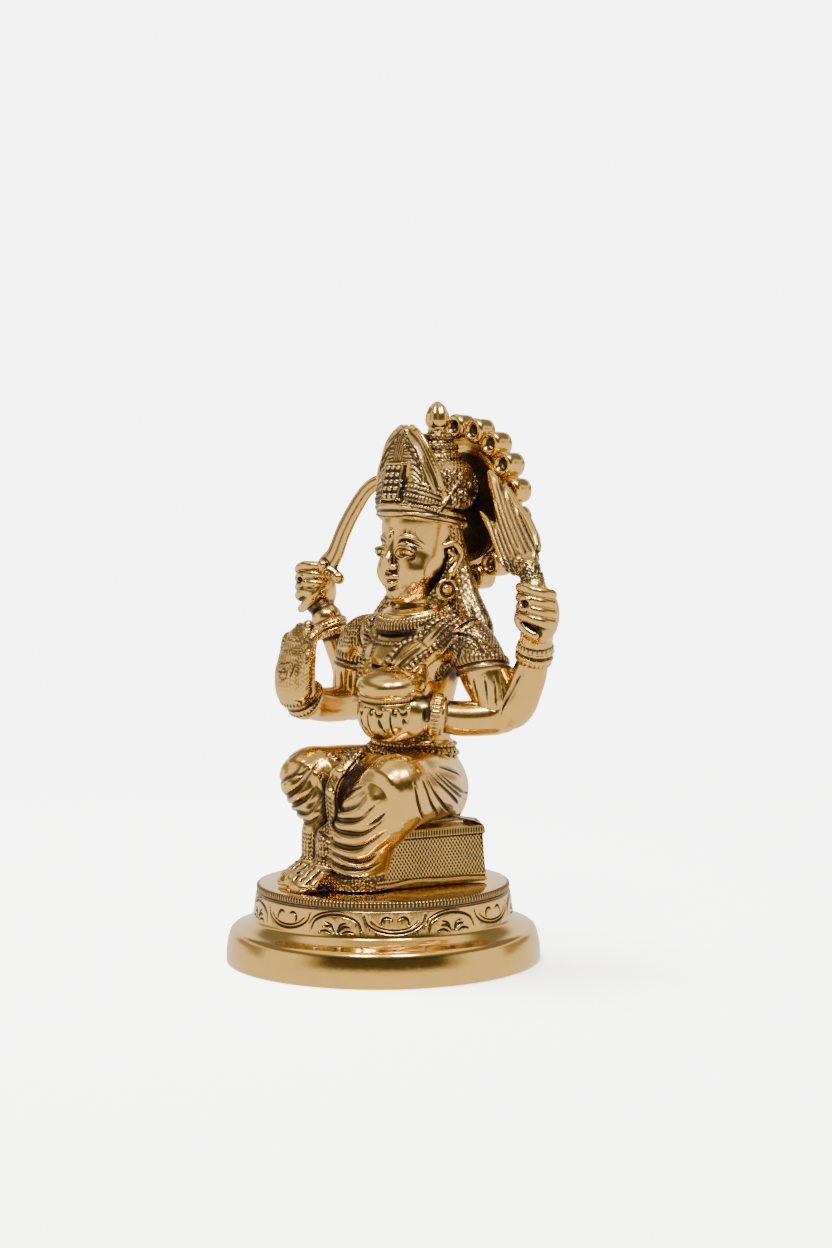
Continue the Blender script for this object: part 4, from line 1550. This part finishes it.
    clay.stroke(ring(0, c["y"], 122, 12.2, 12.4, c["tilt"], 26), 0.42, 0.3, ink=0.9, pitch=0.9)
    for z, radius, y in ((135.3, 7, 20.6), (137.8, 5.9, 21.2), (140.4, 4.8, 21.4)):
        clay.stroke(ring(0, y, z, radius, radius, 0, 16), 0.42, 0.25, ink=0.9, pitch=0.95)
    for spin in range(-1, 8):
        a = radians(20 + spin * 20)
        leaf = [(12.6 * cos(a), 17.6 + 12.6 * sin(a), 123.4),
                (12.6 * cos(a + 0.12), 17.6 + 12.6 * sin(a + 0.12), 127),
                (11.4 * cos(a + 0.17), 17.8 + 11.4 * sin(a + 0.17), 131.4)]
        clay.stroke(leaf, 0.4, -0.4, ink=0.9, taper=0.3)

    def dotted(p):
        x, y, z = p.T
        puffed = ramp(y, 12, 13.5) * ramp(z, 121.8, 122.6) * (1 - ramp(z, 131.6, 133))
        neck = ramp(z, 132.4, 133.2) * (1 - ramp(z, 142.4, 143)) * 0.5 * ramp(y, 12.5, 14)
        return np.maximum(puffed * 0.9, neck)

    clay.press((-14, 8, 120), (14, 32, 144), stippled(dotted, 1))
    return clay_piece("crown", clay, material)


# Halo: a stepped disc with a rim of short flutes

def turned_mesh(profile, columns):
    """Corners and faces of a closed form turned about Z, from its radii and heights, foot first."""
    turns = np.arange(columns) / columns * 2 * pi
    rows = [round_row(turns, r, z) for r, z in profile[1:-1]]
    return closed_wall(rows, (0, 0, profile[0][1]), (0, 0, profile[-1][1]))


def faced_forward(corners, y, z=0):
    """Turns a form made along Z so that its axis points to the front, standing at y and z."""
    return np.stack([corners[:, 0], y - corners[:, 2], z + corners[:, 1]], 1)


def make_halo(material):
    h = HALO
    deep = h["back"] - h["front"]
    rim = h["ring"]
    profile = [(0, -0.6), (6, -0.8), (12, -0.9), (rim - 2.4, -1), (rim - 0.9, -0.85), (rim - 0.6, -0.3),
               (rim - 0.6, deep - 3.4), (rim - 0.8, deep - 2.6), (rim - 1.4, deep - 2.3),
               (rim - 2.6, deep - 2.3), (rim - 3.2, deep - 2.5), (rim - 3.5, deep - 3.2),
               (rim - 3.7, deep - 4.2), (rim - 4.1, deep - 4.5), (rim - 5, deep - 4.6),
               (rim - 5.4, deep - 4.9), (rim - 5.8, deep - 4.6), (10, deep - 4.55), (5, deep - 4.55),
               (0, deep - 4.55)]
    dense = []
    for (r0, z0), (r1, z1) in zip(profile[:-1], profile[1:]):
        steps = max(1, int(hypot(r1 - r0, z1 - z0) / 0.8))
        shares = np.linspace(0, 1, steps, endpoint=False)
        dense += [(r0 + (r1 - r0) * t, z0 + (z1 - z0) * t) for t in shares]
    dense.append(profile[-1])
    corners, faces = turned_mesh(dense, 216)
    radius = np.hypot(corners[:, 0], corners[:, 1])
    front = corners[:, 2] > 0
    hollow = np.where(front, 1 - ramp(radius, rim - 9, rim - 6), 0.1)
    plate = make_object("halo_disc", faced_forward(corners, h["back"] - 1, h["z"]), faces,
                        {"hollow": hollow * 0.9}, material)
    finish_piece(plate, "figure")
    lobe = h["lobe"]
    flute = [(0, 0.1), (lobe * 0.5, 0), (lobe - 0.7, 0.1), (lobe - 0.3, 0.5), (lobe - 0.2, 2),
             (lobe - 0.1, deep - 1.6),
             (lobe, deep - 1.1), (lobe - 0.25, deep - 0.4), (lobe - 0.9, deep), (lobe - 1.5, deep - 0.1),
             (lobe - 1.75, deep - 0.45),
             (lobe - 2, deep - 1), (lobe - 2.4, deep - 1.5), (0.7, deep - 1.9), (0.3, deep - 2),
             (0, deep - 2)]
    corners, faces = turned_mesh(flute, 26)
    radius = np.hypot(corners[:, 0], corners[:, 1])
    inside = (corners[:, 2] > deep - 2.2) * (1 - ramp(radius, lobe - 2.2, lobe - 1.7))
    copy = make_object("halo_flute_shape", faced_forward(corners, 0), faces,
                       {"hollow": inside * 0.7, "ink": inside * 0.35}, material)
    turns = np.arange(h["lobes"]) / h["lobes"] * 2 * pi
    places = np.stack([rim * np.sin(turns), np.full(h["lobes"], h["back"]), h["z"] + rim * np.cos(turns)],
                      1)
    flutes = scattered("halo_flutes", copy, places, np.ones(h["lobes"]), material)
    finish_piece(flutes, "figure")


# Trident and sword

def make_trident(material):
    foot, tip = np.array(TRIDENT["foot"]), np.array(TRIDENT["tip"])
    up = unit(tip - foot)
    length = float(np.linalg.norm(tip - foot))
    across = np.cross(up, TRIDENT["facing"])
    clay = Clay((11.6, 6, 96.6), (51, 32, 133.6), 0.28)
    outline = [(-2, 0), (2, 0), (2.6, 3), (4.8, 5.6), (6.2, 8.6), (6.6, 12), (6.3, 18), (5.2, 23),
               (4.2, length - 9.4), (3.2, length - 6.6),
               (2.6, length - 7.4), (2.2, length - 8.6), (1.7, length - 3.6), (0.7, length - 0.6),
               (-0.4, length), (-1.2, length - 1.8),
               (-1.8, length - 5.4), (-2.4, length - 10), (-3.2, length - 16.6), (-4.2, length - 13.6),
               (-5.4, length - 11.4),
               (-6.5, length - 10.4), (-6.4, length - 14), (-6.1, length - 18), (-6, 10), (-5.3, 6.6),
               (-4.2, 4.6), (-2.4, 3)]

    def ribs(u, v, w):
        share = np.clip(v / length, 0, 1)
        lean = u + 1.2 * np.sin(share * 3.2) - 1.2
        total = np.zeros(len(u), np.float32)
        for centre, low, high in ((-5.3, 5, 26), (-4, 3, 22), (-2.7, 8, 34), (-1.3, 5, 30), (0.1, 9, 37),
                (1.5, 3, 36), (2.9, 6, 30), (4.4, 4, 24)):
            off = (lean - centre * (1 - 0.25 * share)) / 0.36
            groove = np.exp(-off ** 2) * ramp(v, low, low + 3) * (1 - ramp(v, high - 4, high))
            total = np.maximum(total, groove)
        swell = 0.3 * np.cos((lean + 0.2) * pi / 4.2)
        return swell - 0.45 * total, 0.6 * total

    blade = Plate(outline, 3.6, foot, across, up, edge=1.5, blend=0.3, fold=ribs)
    shaft = Limb([(44.6, 13.2, 99, 2.6), (44, 13.5, 101, 3), (41.8, 14.4, 104, 2.8), (40.4, 15, 106, 3.2),
                  (39, 15.6, 107.6, 2.2)], blend=0.6)
    collar = Limb([(43.4, 13.8, 101.6, 3.3, 1), (41.4, 14.6, 104.4, 3.3, 1)], square=True, blend=0.2)
    clay.join([blade, shaft, collar])
    for share in (0.1, 0.5, 0.9):
        clay.stroke(collar.hoop(share, 1, 13), 0.3, -0.35, ink=0.9)
    curl = foot + up * 6.4 + across * 0.4
    spot = clay.settle([curl + np.array(TRIDENT["facing"]) * 2])[0]
    clay.join([Ball(spot, (1.6, 1.6, 1.9), blend=0.2)])

    def dotted(p):
        return ramp(p[:, 2], 101, 104) * (1 - ramp(p[:, 2], 107, 110)) * 0.8

    clay.press((14, 6, 100), (50, 32, 110), stippled(dotted))
    return clay_piece("trident", clay, material)


def make_sword(material):
    clay = Clay((-47.6, 7.2, 97.6), (-6.6, 19.4, 133.2), 0.28)
    stops = [(-39, 12.6, 101, 2.6, 0.6), (-36.4, 12.6, 104.6, 3.5, 0.5), (-33, 12.8, 108.4, 2.9, 0.5),
             (-29.4, 13, 115, 2.7, 0.5),
             (-24.6, 13.2, 121.6, 2.5, 0.5), (-19.4, 13.6, 127, 2.2, 0.5), (-14.6, 14.2, 129, 2, 0.6),
             (-9.6, 15, 128.6, 1.8, 0.6)]

    def edges(turn, share, p):
        line = np.exp(-((np.abs(np.cos(turn)) - 0.45) / 0.12) ** 2) * ramp(share, 0.15, 0.3)
        return -0.28 * line, 0.7 * line

    blade = Limb(stops, wide=(0.8, 0, -0.6), blend=0.3, fold=edges)
    guard = Limb([(-42.6, 10.6, 104.4, 1.8, 0.8), (-38.6, 11.4, 103.8, 2.5, 0.8),
                  (-34.6, 12.4, 103, 2.5, 0.8), (-31.6, 13, 101.6, 1.8, 0.8)], blend=0.4)
    clay.join([blade, guard])
    for place in ((-42.4, 10.4, 104.6), (-31.8, 12.8, 101.8), (-35.6, 10.6, 105.2)):
        clay.join([Ball(place, 1.7, blend=0.2)])
    clay.stroke([(-41.5, 8.8, 105), (-38.6, 9.2, 104.6), (-35, 10.2, 103.6), (-32.4, 11.2, 102.2)], 0.5,
                0.4, ink=0.9, pitch=1)
    return clay_piece("sword", clay, material)


# Copies of a small shape, set at many places by a node tree

def copies_tree():
    """Sets a copy of a shape on every point it is given, as large as the point's size says."""
    tree = bpy.data.node_groups.get("copies_on_points")
    if tree:
        return tree
    tree = bpy.data.node_groups.new("copies_on_points", "GeometryNodeTree")
    for name, kind in (("Points", "NodeSocketGeometry"), ("Shape", "NodeSocketObject"),
            ("Finish", "NodeSocketMaterial")):
        tree.interface.new_socket(name, in_out="INPUT", socket_type=kind)
    tree.interface.new_socket("Copies", in_out="OUTPUT", socket_type="NodeSocketGeometry")
    add = tree.nodes.new
    start, end = add("NodeGroupInput"), add("NodeGroupOutput")
    shape, size = add("GeometryNodeObjectInfo"), add("GeometryNodeInputNamedAttribute")
    place, real = add("GeometryNodeInstanceOnPoints"), add("GeometryNodeRealizeInstances")
    finish = add("GeometryNodeSetMaterial")
    size.data_type = "FLOAT"
    size.inputs["Name"].default_value = "size"
    links = (
        (start.outputs["Points"], place.inputs["Points"]), (start.outputs["Shape"], shape.inputs["Object"]),
        (shape.outputs["Geometry"], place.inputs["Instance"]),
        (size.outputs["Attribute"], place.inputs["Scale"]),
        (place.outputs["Instances"], real.inputs["Geometry"]),
        (real.outputs["Geometry"], finish.inputs["Geometry"]),
        (start.outputs["Finish"], finish.inputs["Material"]),
        (finish.outputs["Geometry"], end.inputs["Copies"]),
    )
    for source, target in links:
        tree.links.new(source, target)
    return tree


def scattered(name, shape, places, sizes, material):
    """A plain mesh of the copies that the node tree makes, with the shape itself taken away."""
    points = bpy.data.meshes.new(name + "_points")
    points.vertices.add(len(places))
    points.vertices.foreach_set("co", (np.asarray(places, np.float32) * MM).ravel())
    layer = points.attributes.new("size", "FLOAT", "POINT")
    layer.data.foreach_set("value", np.asarray(sizes, np.float32))
    holder = bpy.data.objects.new(name + "_points", points)
    bpy.context.scene.collection.objects.link(holder)
    tree = copies_tree()
    modifier = holder.modifiers.new("copies", "NODES")
    modifier.node_group = tree
    ids = {item.name: item.identifier for item in tree.interface.items_tree}
    modifier[ids["Shape"]] = shape
    modifier[ids["Finish"]] = material
    view = bpy.context.evaluated_depsgraph_get()
    view.update()
    mesh = bpy.data.meshes.new_from_object(holder.evaluated_get(view))
    mesh.name = name
    obj = bpy.data.objects.new(name, mesh)
    bpy.context.scene.collection.objects.link(obj)
    for old in (holder, shape):
        bpy.data.objects.remove(old)
    return obj


def bead_rows():
    """Strings of beads: the piece they lie on, their points, their radius and their pitch."""
    belt = [("skirt_and_legs", ring(0, 11.9, z, 13, 9.9, 0, 22), 0.5, 1.2) for z in (54.9, 57.6)]
    return [("torso_and_sleeves", ring(0, 12.2, 93.2, 10.2, 8.9, 2.0, 20), 0.4, 1.05), *belt]


def make_beads(material):
    bead = bpy.data.meshes.new("bead_shape")
    form = bmesh.new()
    bmesh.ops.create_icosphere(form, subdivisions=2, radius=MM)
    for face in form.faces:
        face.smooth = True
    form.to_mesh(bead)
    form.free()
    for key in MARKS:
        bead.attributes.new(key, "FLOAT", "POINT")
    bead.materials.append(material)
    shape = bpy.data.objects.new("bead_shape", bead)
    bpy.context.scene.collection.objects.link(shape)
    places, sizes = [], []
    for piece, points, radius, pitch in bead_rows():
        line = thread(points, 8)
        run = np.concatenate([[0], np.cumsum(np.linalg.norm(np.diff(line, axis=0), axis=1))])
        count = int(run[-1] / pitch)
        spots = np.linspace(0, run[-1], count, endpoint=False)
        on = bpy.data.objects[piece]
        for spot in spots:
            at = [np.interp(spot, run, line[:, k]) * MM for k in range(3)]
            found, place, normal, _ = on.closest_point_on_mesh(at)
            if not found:
                raise RuntimeError("no skin under a bead on " + piece)
            places.append([(place[k] + normal[k] * radius * MM * 0.25) / MM for k in range(3)])
            sizes.append(radius)
    finish_piece(scattered("bead_strings", shape, places, sizes, material), "figure")


# Stage

def make_stage(settings):
    """Pale floor, studio surroundings, two soft boxes and the camera."""
    floor = bpy.data.meshes.new("floor")
    form = bmesh.new()
    bmesh.ops.create_circle(form, cap_ends=True, segments=96, radius=1.6)
    form.to_mesh(floor)
    form.free()
    obj = bpy.data.objects.new("floor", floor)
    bpy.context.scene.collection.objects.link(obj)
    material = bpy.data.materials.new("pale_floor")
    shade = Shade(material)
    spot = shade.signal("ShaderNodeTexCoord", output="Object")
    away = shade.signal("ShaderNodeVectorMath", {0: spot}, output="Value", operation="LENGTH")
    colour = (*settings.floor, 1)
    plain = shade.add("ShaderNodeBsdfDiffuse", {"Color": colour})
    glow = shade.add("ShaderNodeEmission", {"Color": colour, "Strength": settings.floor_light})
    lit = shade.add("ShaderNodeAddShader", {0: plain.outputs[0], 1: glow.outputs[0]})
    clear = shade.add("ShaderNodeBsdfTransparent")
    shaders = {0: away.ramp(0.22, 0.75), 1: lit.outputs[0], 2: clear.outputs[0]}
    shade.finish("ShaderNodeOutputMaterial", shade.add("ShaderNodeMixShader", shaders))
    floor.materials.append(material)
    obj.visible_glossy = False
    make_world(settings)
    heading, lift, size = atan2(TO_CAMERA[1], TO_CAMERA[0]), radians(57), 0.24
    for name, swing in (("key_softbox", 21), ("fill_softbox", -22)):
        turn = heading + radians(swing)
        way = np.array((cos(turn) * cos(lift), sin(turn) * cos(lift), sin(lift)))
        light = bpy.data.lights.new(name, "AREA")
        light.shape = "RECTANGLE"
        light.size, light.size_y = size, size * 1.1
        light.energy = settings.light
        light.color = (1.0, 0.95, 0.84)
        lamp = bpy.data.objects.new(name, light)
        lamp.location = way * 1.15 + np.array((0, 0, 0.08))
        lamp.rotation_mode = "QUATERNION"
        lamp.rotation_quaternion = Vector(way).to_track_quat("Z", "Y")
        bpy.context.scene.collection.objects.link(lamp)
    overhead = bpy.data.lights.new("overhead_softbox", "AREA")
    overhead.size = 0.5
    overhead.energy = settings.overhead
    lamp = bpy.data.objects.new("overhead_softbox", overhead)
    lamp.location = (-0.28, 0.02, 1.05)
    lamp.rotation_euler = (0, radians(-15), 0)
    lamp.visible_glossy = False
    bpy.context.scene.collection.objects.link(lamp)
    make_camera()


def make_world(settings):
    """Surroundings that show as bright walls, a dark room behind the camera and a pale backdrop."""
    world = bpy.data.worlds.new("studio")
    shade = Shade(world)
    way = shade.add("ShaderNodeSeparateXYZ", {0: shade.signal("ShaderNodeTexCoord", output="Generated")})
    x, y, z = (Signal(shade, way.outputs[k]) for k in range(3))
    lift = z.math("ARCSINE") * (180 / pi)
    front = x * TO_CAMERA[0] + y * TO_CAMERA[1]
    side = x * -TO_CAMERA[1] + y * TO_CAMERA[0]
    swing = side.math("ARCTAN2", front) * (180 / pi)
    turn = swing.math("ABSOLUTE")
    behind_camera = (1 - turn.ramp(40, 72)) * (1 - lift.ramp(28, 42)) * lift.ramp(-1, 12)
    windows = (swing * (3 * pi / 180)).math("COSINE").ramp(0.2, 0.75) * (1 - lift.ramp(14, 24))
    windows = windows * lift.ramp(0, 6) * turn.ramp(60, 75)
    high_band = lift.ramp(22, 30) * (1 - lift.ramp(46, 56))
    base = 0.9 - behind_camera * 0.84 - windows * 0.6
    glow = (base * (1 - high_band * 0.8)).math("MAXIMUM", 0.04)
    glow = glow * (1 - lift.ramp(62, 80) * 0.45)
    studio = shade.blend(glow, (0.0, 0.0, 0.0, 1), (1.0, 0.91, 0.73, 1))
    lit = shade.add("ShaderNodeBackground", {"Color": studio, "Strength": settings.surround})
    pale = shade.add("ShaderNodeBackground", {"Color": (*settings.backdrop, 1),
        "Strength": settings.backdrop_light})
    seen = shade.signal("ShaderNodeLightPath", output="Is Camera Ray")
    shaders = {0: seen, 1: lit.outputs[0], 2: pale.outputs[0]}
    shade.finish("ShaderNodeOutputWorld", shade.add("ShaderNodeMixShader", shaders))
    bpy.context.scene.world = world


CAMERA = {"azimuth": 47.0, "away": 630.56, "height": 127.66, "focal": 2344.7, "frame": 1248.0,
          "pitch": 0.0590, "yaw": -0.0147, "roll": -0.0049}


def make_camera():
    c = CAMERA
    a = radians(c["azimuth"])
    yaw, pitch, roll = c["yaw"], c["pitch"], c["roll"]
    swing = np.array([[cos(a), -sin(a), 0], [sin(a), cos(a), 0], [0, 0, 1]])
    nod = np.array([[1, 0, 0], [0, cos(pitch), -sin(pitch)], [0, sin(pitch), cos(pitch)]])
    turn = np.array([[cos(yaw), sin(yaw), 0], [-sin(yaw), cos(yaw), 0], [0, 0, 1]])
    right, ahead, up = (swing @ row for row in nod @ turn)
    right, up = (cos(roll) * right + sin(roll) * up, cos(roll) * up - sin(roll) * right)
    place = swing @ np.array((0, -c["away"], c["height"])) * MM
    data = bpy.data.cameras.new("camera")
    data.sensor_width = 36.0
    data.lens = c["focal"] / c["frame"] * 36.0
    data.clip_start, data.clip_end = 0.02, 30.0
    camera = bpy.data.objects.new("camera", data)
    columns = np.eye(4)
    columns[:3, 0], columns[:3, 1], columns[:3, 2], columns[:3, 3] = right, up, -ahead, place
    camera.matrix_world = Matrix([list(row) for row in columns])
    bpy.context.scene.collection.objects.link(camera)
    bpy.context.scene.camera = camera


# The add-on: settings, one operator for each piece, and a panel

def colour(name, description, *value):
    return FloatVectorProperty(name=name, description=description, subtype="COLOR", size=len(value),
                               default=value, min=0, max=1)


def amount(name, description, value, most, **more):
    return FloatProperty(name=name, description=description, default=value, min=0, max=most, **more)


class GODDESS_settings(bpy.types.PropertyGroup):
    """Finish and light that a user would change."""

    brass: colour("Brass", "Colour of the clean metal", 0.78, 0.52, 0.155, 1)
    brass_warm: colour("Warm brass", "Colour of the metal where it is less rubbed", 0.70, 0.43, 0.105, 1)
    tarnish: colour("Tarnish", "Colour at the edge of the dark patina", 0.17, 0.11, 0.055, 1)
    dark: colour("Patina", "Colour of the patina in the hollows", 0.05, 0.033, 0.017, 1)
    patina: amount("Patina amount", "How far the patina reaches out of the hollows", 1, 2, subtype="FACTOR")
    roughness: amount("Roughness", "Roughness of the rubbed metal", 0.13, 1, subtype="FACTOR")
    floor: colour("Floor", "Colour of the studio floor", 0.86, 0.86, 0.865)
    backdrop: colour("Backdrop", "Colour behind the figure", 0.885, 0.89, 0.895)
    backdrop_light: amount("Backdrop light", "Brightness behind the figure", 7.2, 20)
    surround: amount("Surroundings", "Brightness of the studio walls", 1.55, 5)
    overhead: amount("Overhead light", "Strength of the soft box that lights the floor", 68, 400,
                     unit="POWER")
    floor_light: amount("Floor glow", "Light that the pale floor adds of its own", 1.1, 20)
    light: amount("Soft boxes", "Strength of each soft box", 10.5, 100, unit="POWER")


def brass(name, polish):
    """The brass of that name, made when it is first asked for."""
    found = bpy.data.materials.get(name)
    return found or make_brass(name, bpy.context.scene.goddess_settings, polish)


class PieceOperator:
    """What the operators share: each makes its piece with the finish it names."""

    bl_options = {"REGISTER", "UNDO"}
    finish = ("brass_relief", 0.0)
    maker = None

    def execute(self, context):
        type(self).maker(brass(*self.finish))
        return {"FINISHED"}


class GODDESS_OT_stage(bpy.types.Operator):
    """Floor, surroundings, soft boxes and camera"""
    bl_idname = "goddess.stage"
    bl_label = "Stage"

    def execute(self, context):
        make_stage(context.scene.goddess_settings)
        return {"FINISHED"}


class GODDESS_OT_plinth(PieceOperator, bpy.types.Operator):
    """Turned plinth with its engraved band and milled edge"""
    bl_idname = "goddess.plinth"
    bl_label = "Plinth"
    finish = ("brass_turned", 1.0)
    maker = make_plinth


class GODDESS_OT_seat(PieceOperator, bpy.types.Operator):
    """Seat under its punched cloth"""
    bl_idname = "goddess.seat"
    bl_label = "Seat"
    maker = make_seat


class GODDESS_OT_legs(PieceOperator, bpy.types.Operator):
    """Legs, skirt, sash and belt"""
    bl_idname = "goddess.legs"
    bl_label = "Skirt and legs"
    maker = make_legs


class GODDESS_OT_feet(PieceOperator, bpy.types.Operator):
    """Feet with toes and anklets"""
    bl_idname = "goddess.feet"
    bl_label = "Feet"
    maker = make_feet


class GODDESS_OT_torso(PieceOperator, bpy.types.Operator):
    """Trunk, sleeves, collars, garland and bordered cloth"""
    bl_idname = "goddess.torso"
    bl_label = "Torso and sleeves"
    maker = make_torso


class GODDESS_OT_left_arms(PieceOperator, bpy.types.Operator):
    """Both left forearms, the fist and the hand round the bowl"""
    bl_idname = "goddess.left_arms"
    bl_label = "Left forearms"
    maker = make_left_arms


class GODDESS_OT_right_arms(PieceOperator, bpy.types.Operator):
    """Both right forearms, the fist and the open hand"""
    bl_idname = "goddess.right_arms"
    bl_label = "Right forearms"
    maker = make_right_arms


class GODDESS_OT_bowl(PieceOperator, bpy.types.Operator):
    """Bowl with its heaped offering"""
    bl_idname = "goddess.bowl"
    bl_label = "Bowl"
    maker = make_bowl


class GODDESS_OT_head(PieceOperator, bpy.types.Operator):
    """Head, ears and ear discs"""
    bl_idname = "goddess.head"
    bl_label = "Head"
    maker = make_head


class GODDESS_OT_hair(PieceOperator, bpy.types.Operator):
    """Hair down the back and over the shoulders"""
    bl_idname = "goddess.hair"
    bl_label = "Hair"
    maker = make_hair


class GODDESS_OT_crown(PieceOperator, bpy.types.Operator):
    """Crown with its leaf, plaque, rings and bud"""
    bl_idname = "goddess.crown"
    bl_label = "Crown"
    maker = make_crown


class GODDESS_OT_halo(PieceOperator, bpy.types.Operator):
    """Halo disc and its rim of flutes"""
    bl_idname = "goddess.halo"
    bl_label = "Halo"
    maker = make_halo


class GODDESS_OT_trident(PieceOperator, bpy.types.Operator):
    """Trident with its collar"""
    bl_idname = "goddess.trident"
    bl_label = "Trident"
    maker = make_trident


class GODDESS_OT_sword(PieceOperator, bpy.types.Operator):
    """Curved sword and its guard"""
    bl_idname = "goddess.sword"
    bl_label = "Sword"
    maker = make_sword


class GODDESS_OT_beads(PieceOperator, bpy.types.Operator):
    """Strings of beads on the collar and the belt"""
    bl_idname = "goddess.beads"
    bl_label = "Beads"
    maker = make_beads


OPERATORS = (
    GODDESS_OT_stage, GODDESS_OT_plinth, GODDESS_OT_seat, GODDESS_OT_legs, GODDESS_OT_feet,
    GODDESS_OT_torso,
    GODDESS_OT_left_arms, GODDESS_OT_right_arms, GODDESS_OT_bowl, GODDESS_OT_head, GODDESS_OT_hair,
    GODDESS_OT_crown, GODDESS_OT_halo, GODDESS_OT_trident, GODDESS_OT_sword, GODDESS_OT_beads,
)


class GODDESS_PT_panel(bpy.types.Panel):
    """Lists the settings and the pieces"""
    bl_idname = "GODDESS_PT_panel"
    bl_label = "Seated goddess"
    bl_space_type = "VIEW_3D"
    bl_region_type = "UI"
    bl_category = "Goddess"

    def draw(self, context):
        settings = context.scene.goddess_settings
        column = self.layout.column()
        for name in GODDESS_settings.__annotations__:
            column.prop(settings, name)
        for operator in OPERATORS:
            column.operator(operator.bl_idname)


def register():
    for item in (GODDESS_settings, *OPERATORS, GODDESS_PT_panel):
        bpy.utils.register_class(item)
    bpy.types.Scene.goddess_settings = PointerProperty(type=GODDESS_settings)


def unregister():
    del bpy.types.Scene.goddess_settings
    for item in reversed((GODDESS_settings, *OPERATORS, GODDESS_PT_panel)):
        bpy.utils.unregister_class(item)


def main():
    register()
    for operator in OPERATORS:
        started = time.time()
        group, name = operator.bl_idname.split(".")
        getattr(getattr(bpy.ops, group), name)()
        print(name, "seconds", round(time.time() - started, 1))


if __name__ == "__main__":
    main()
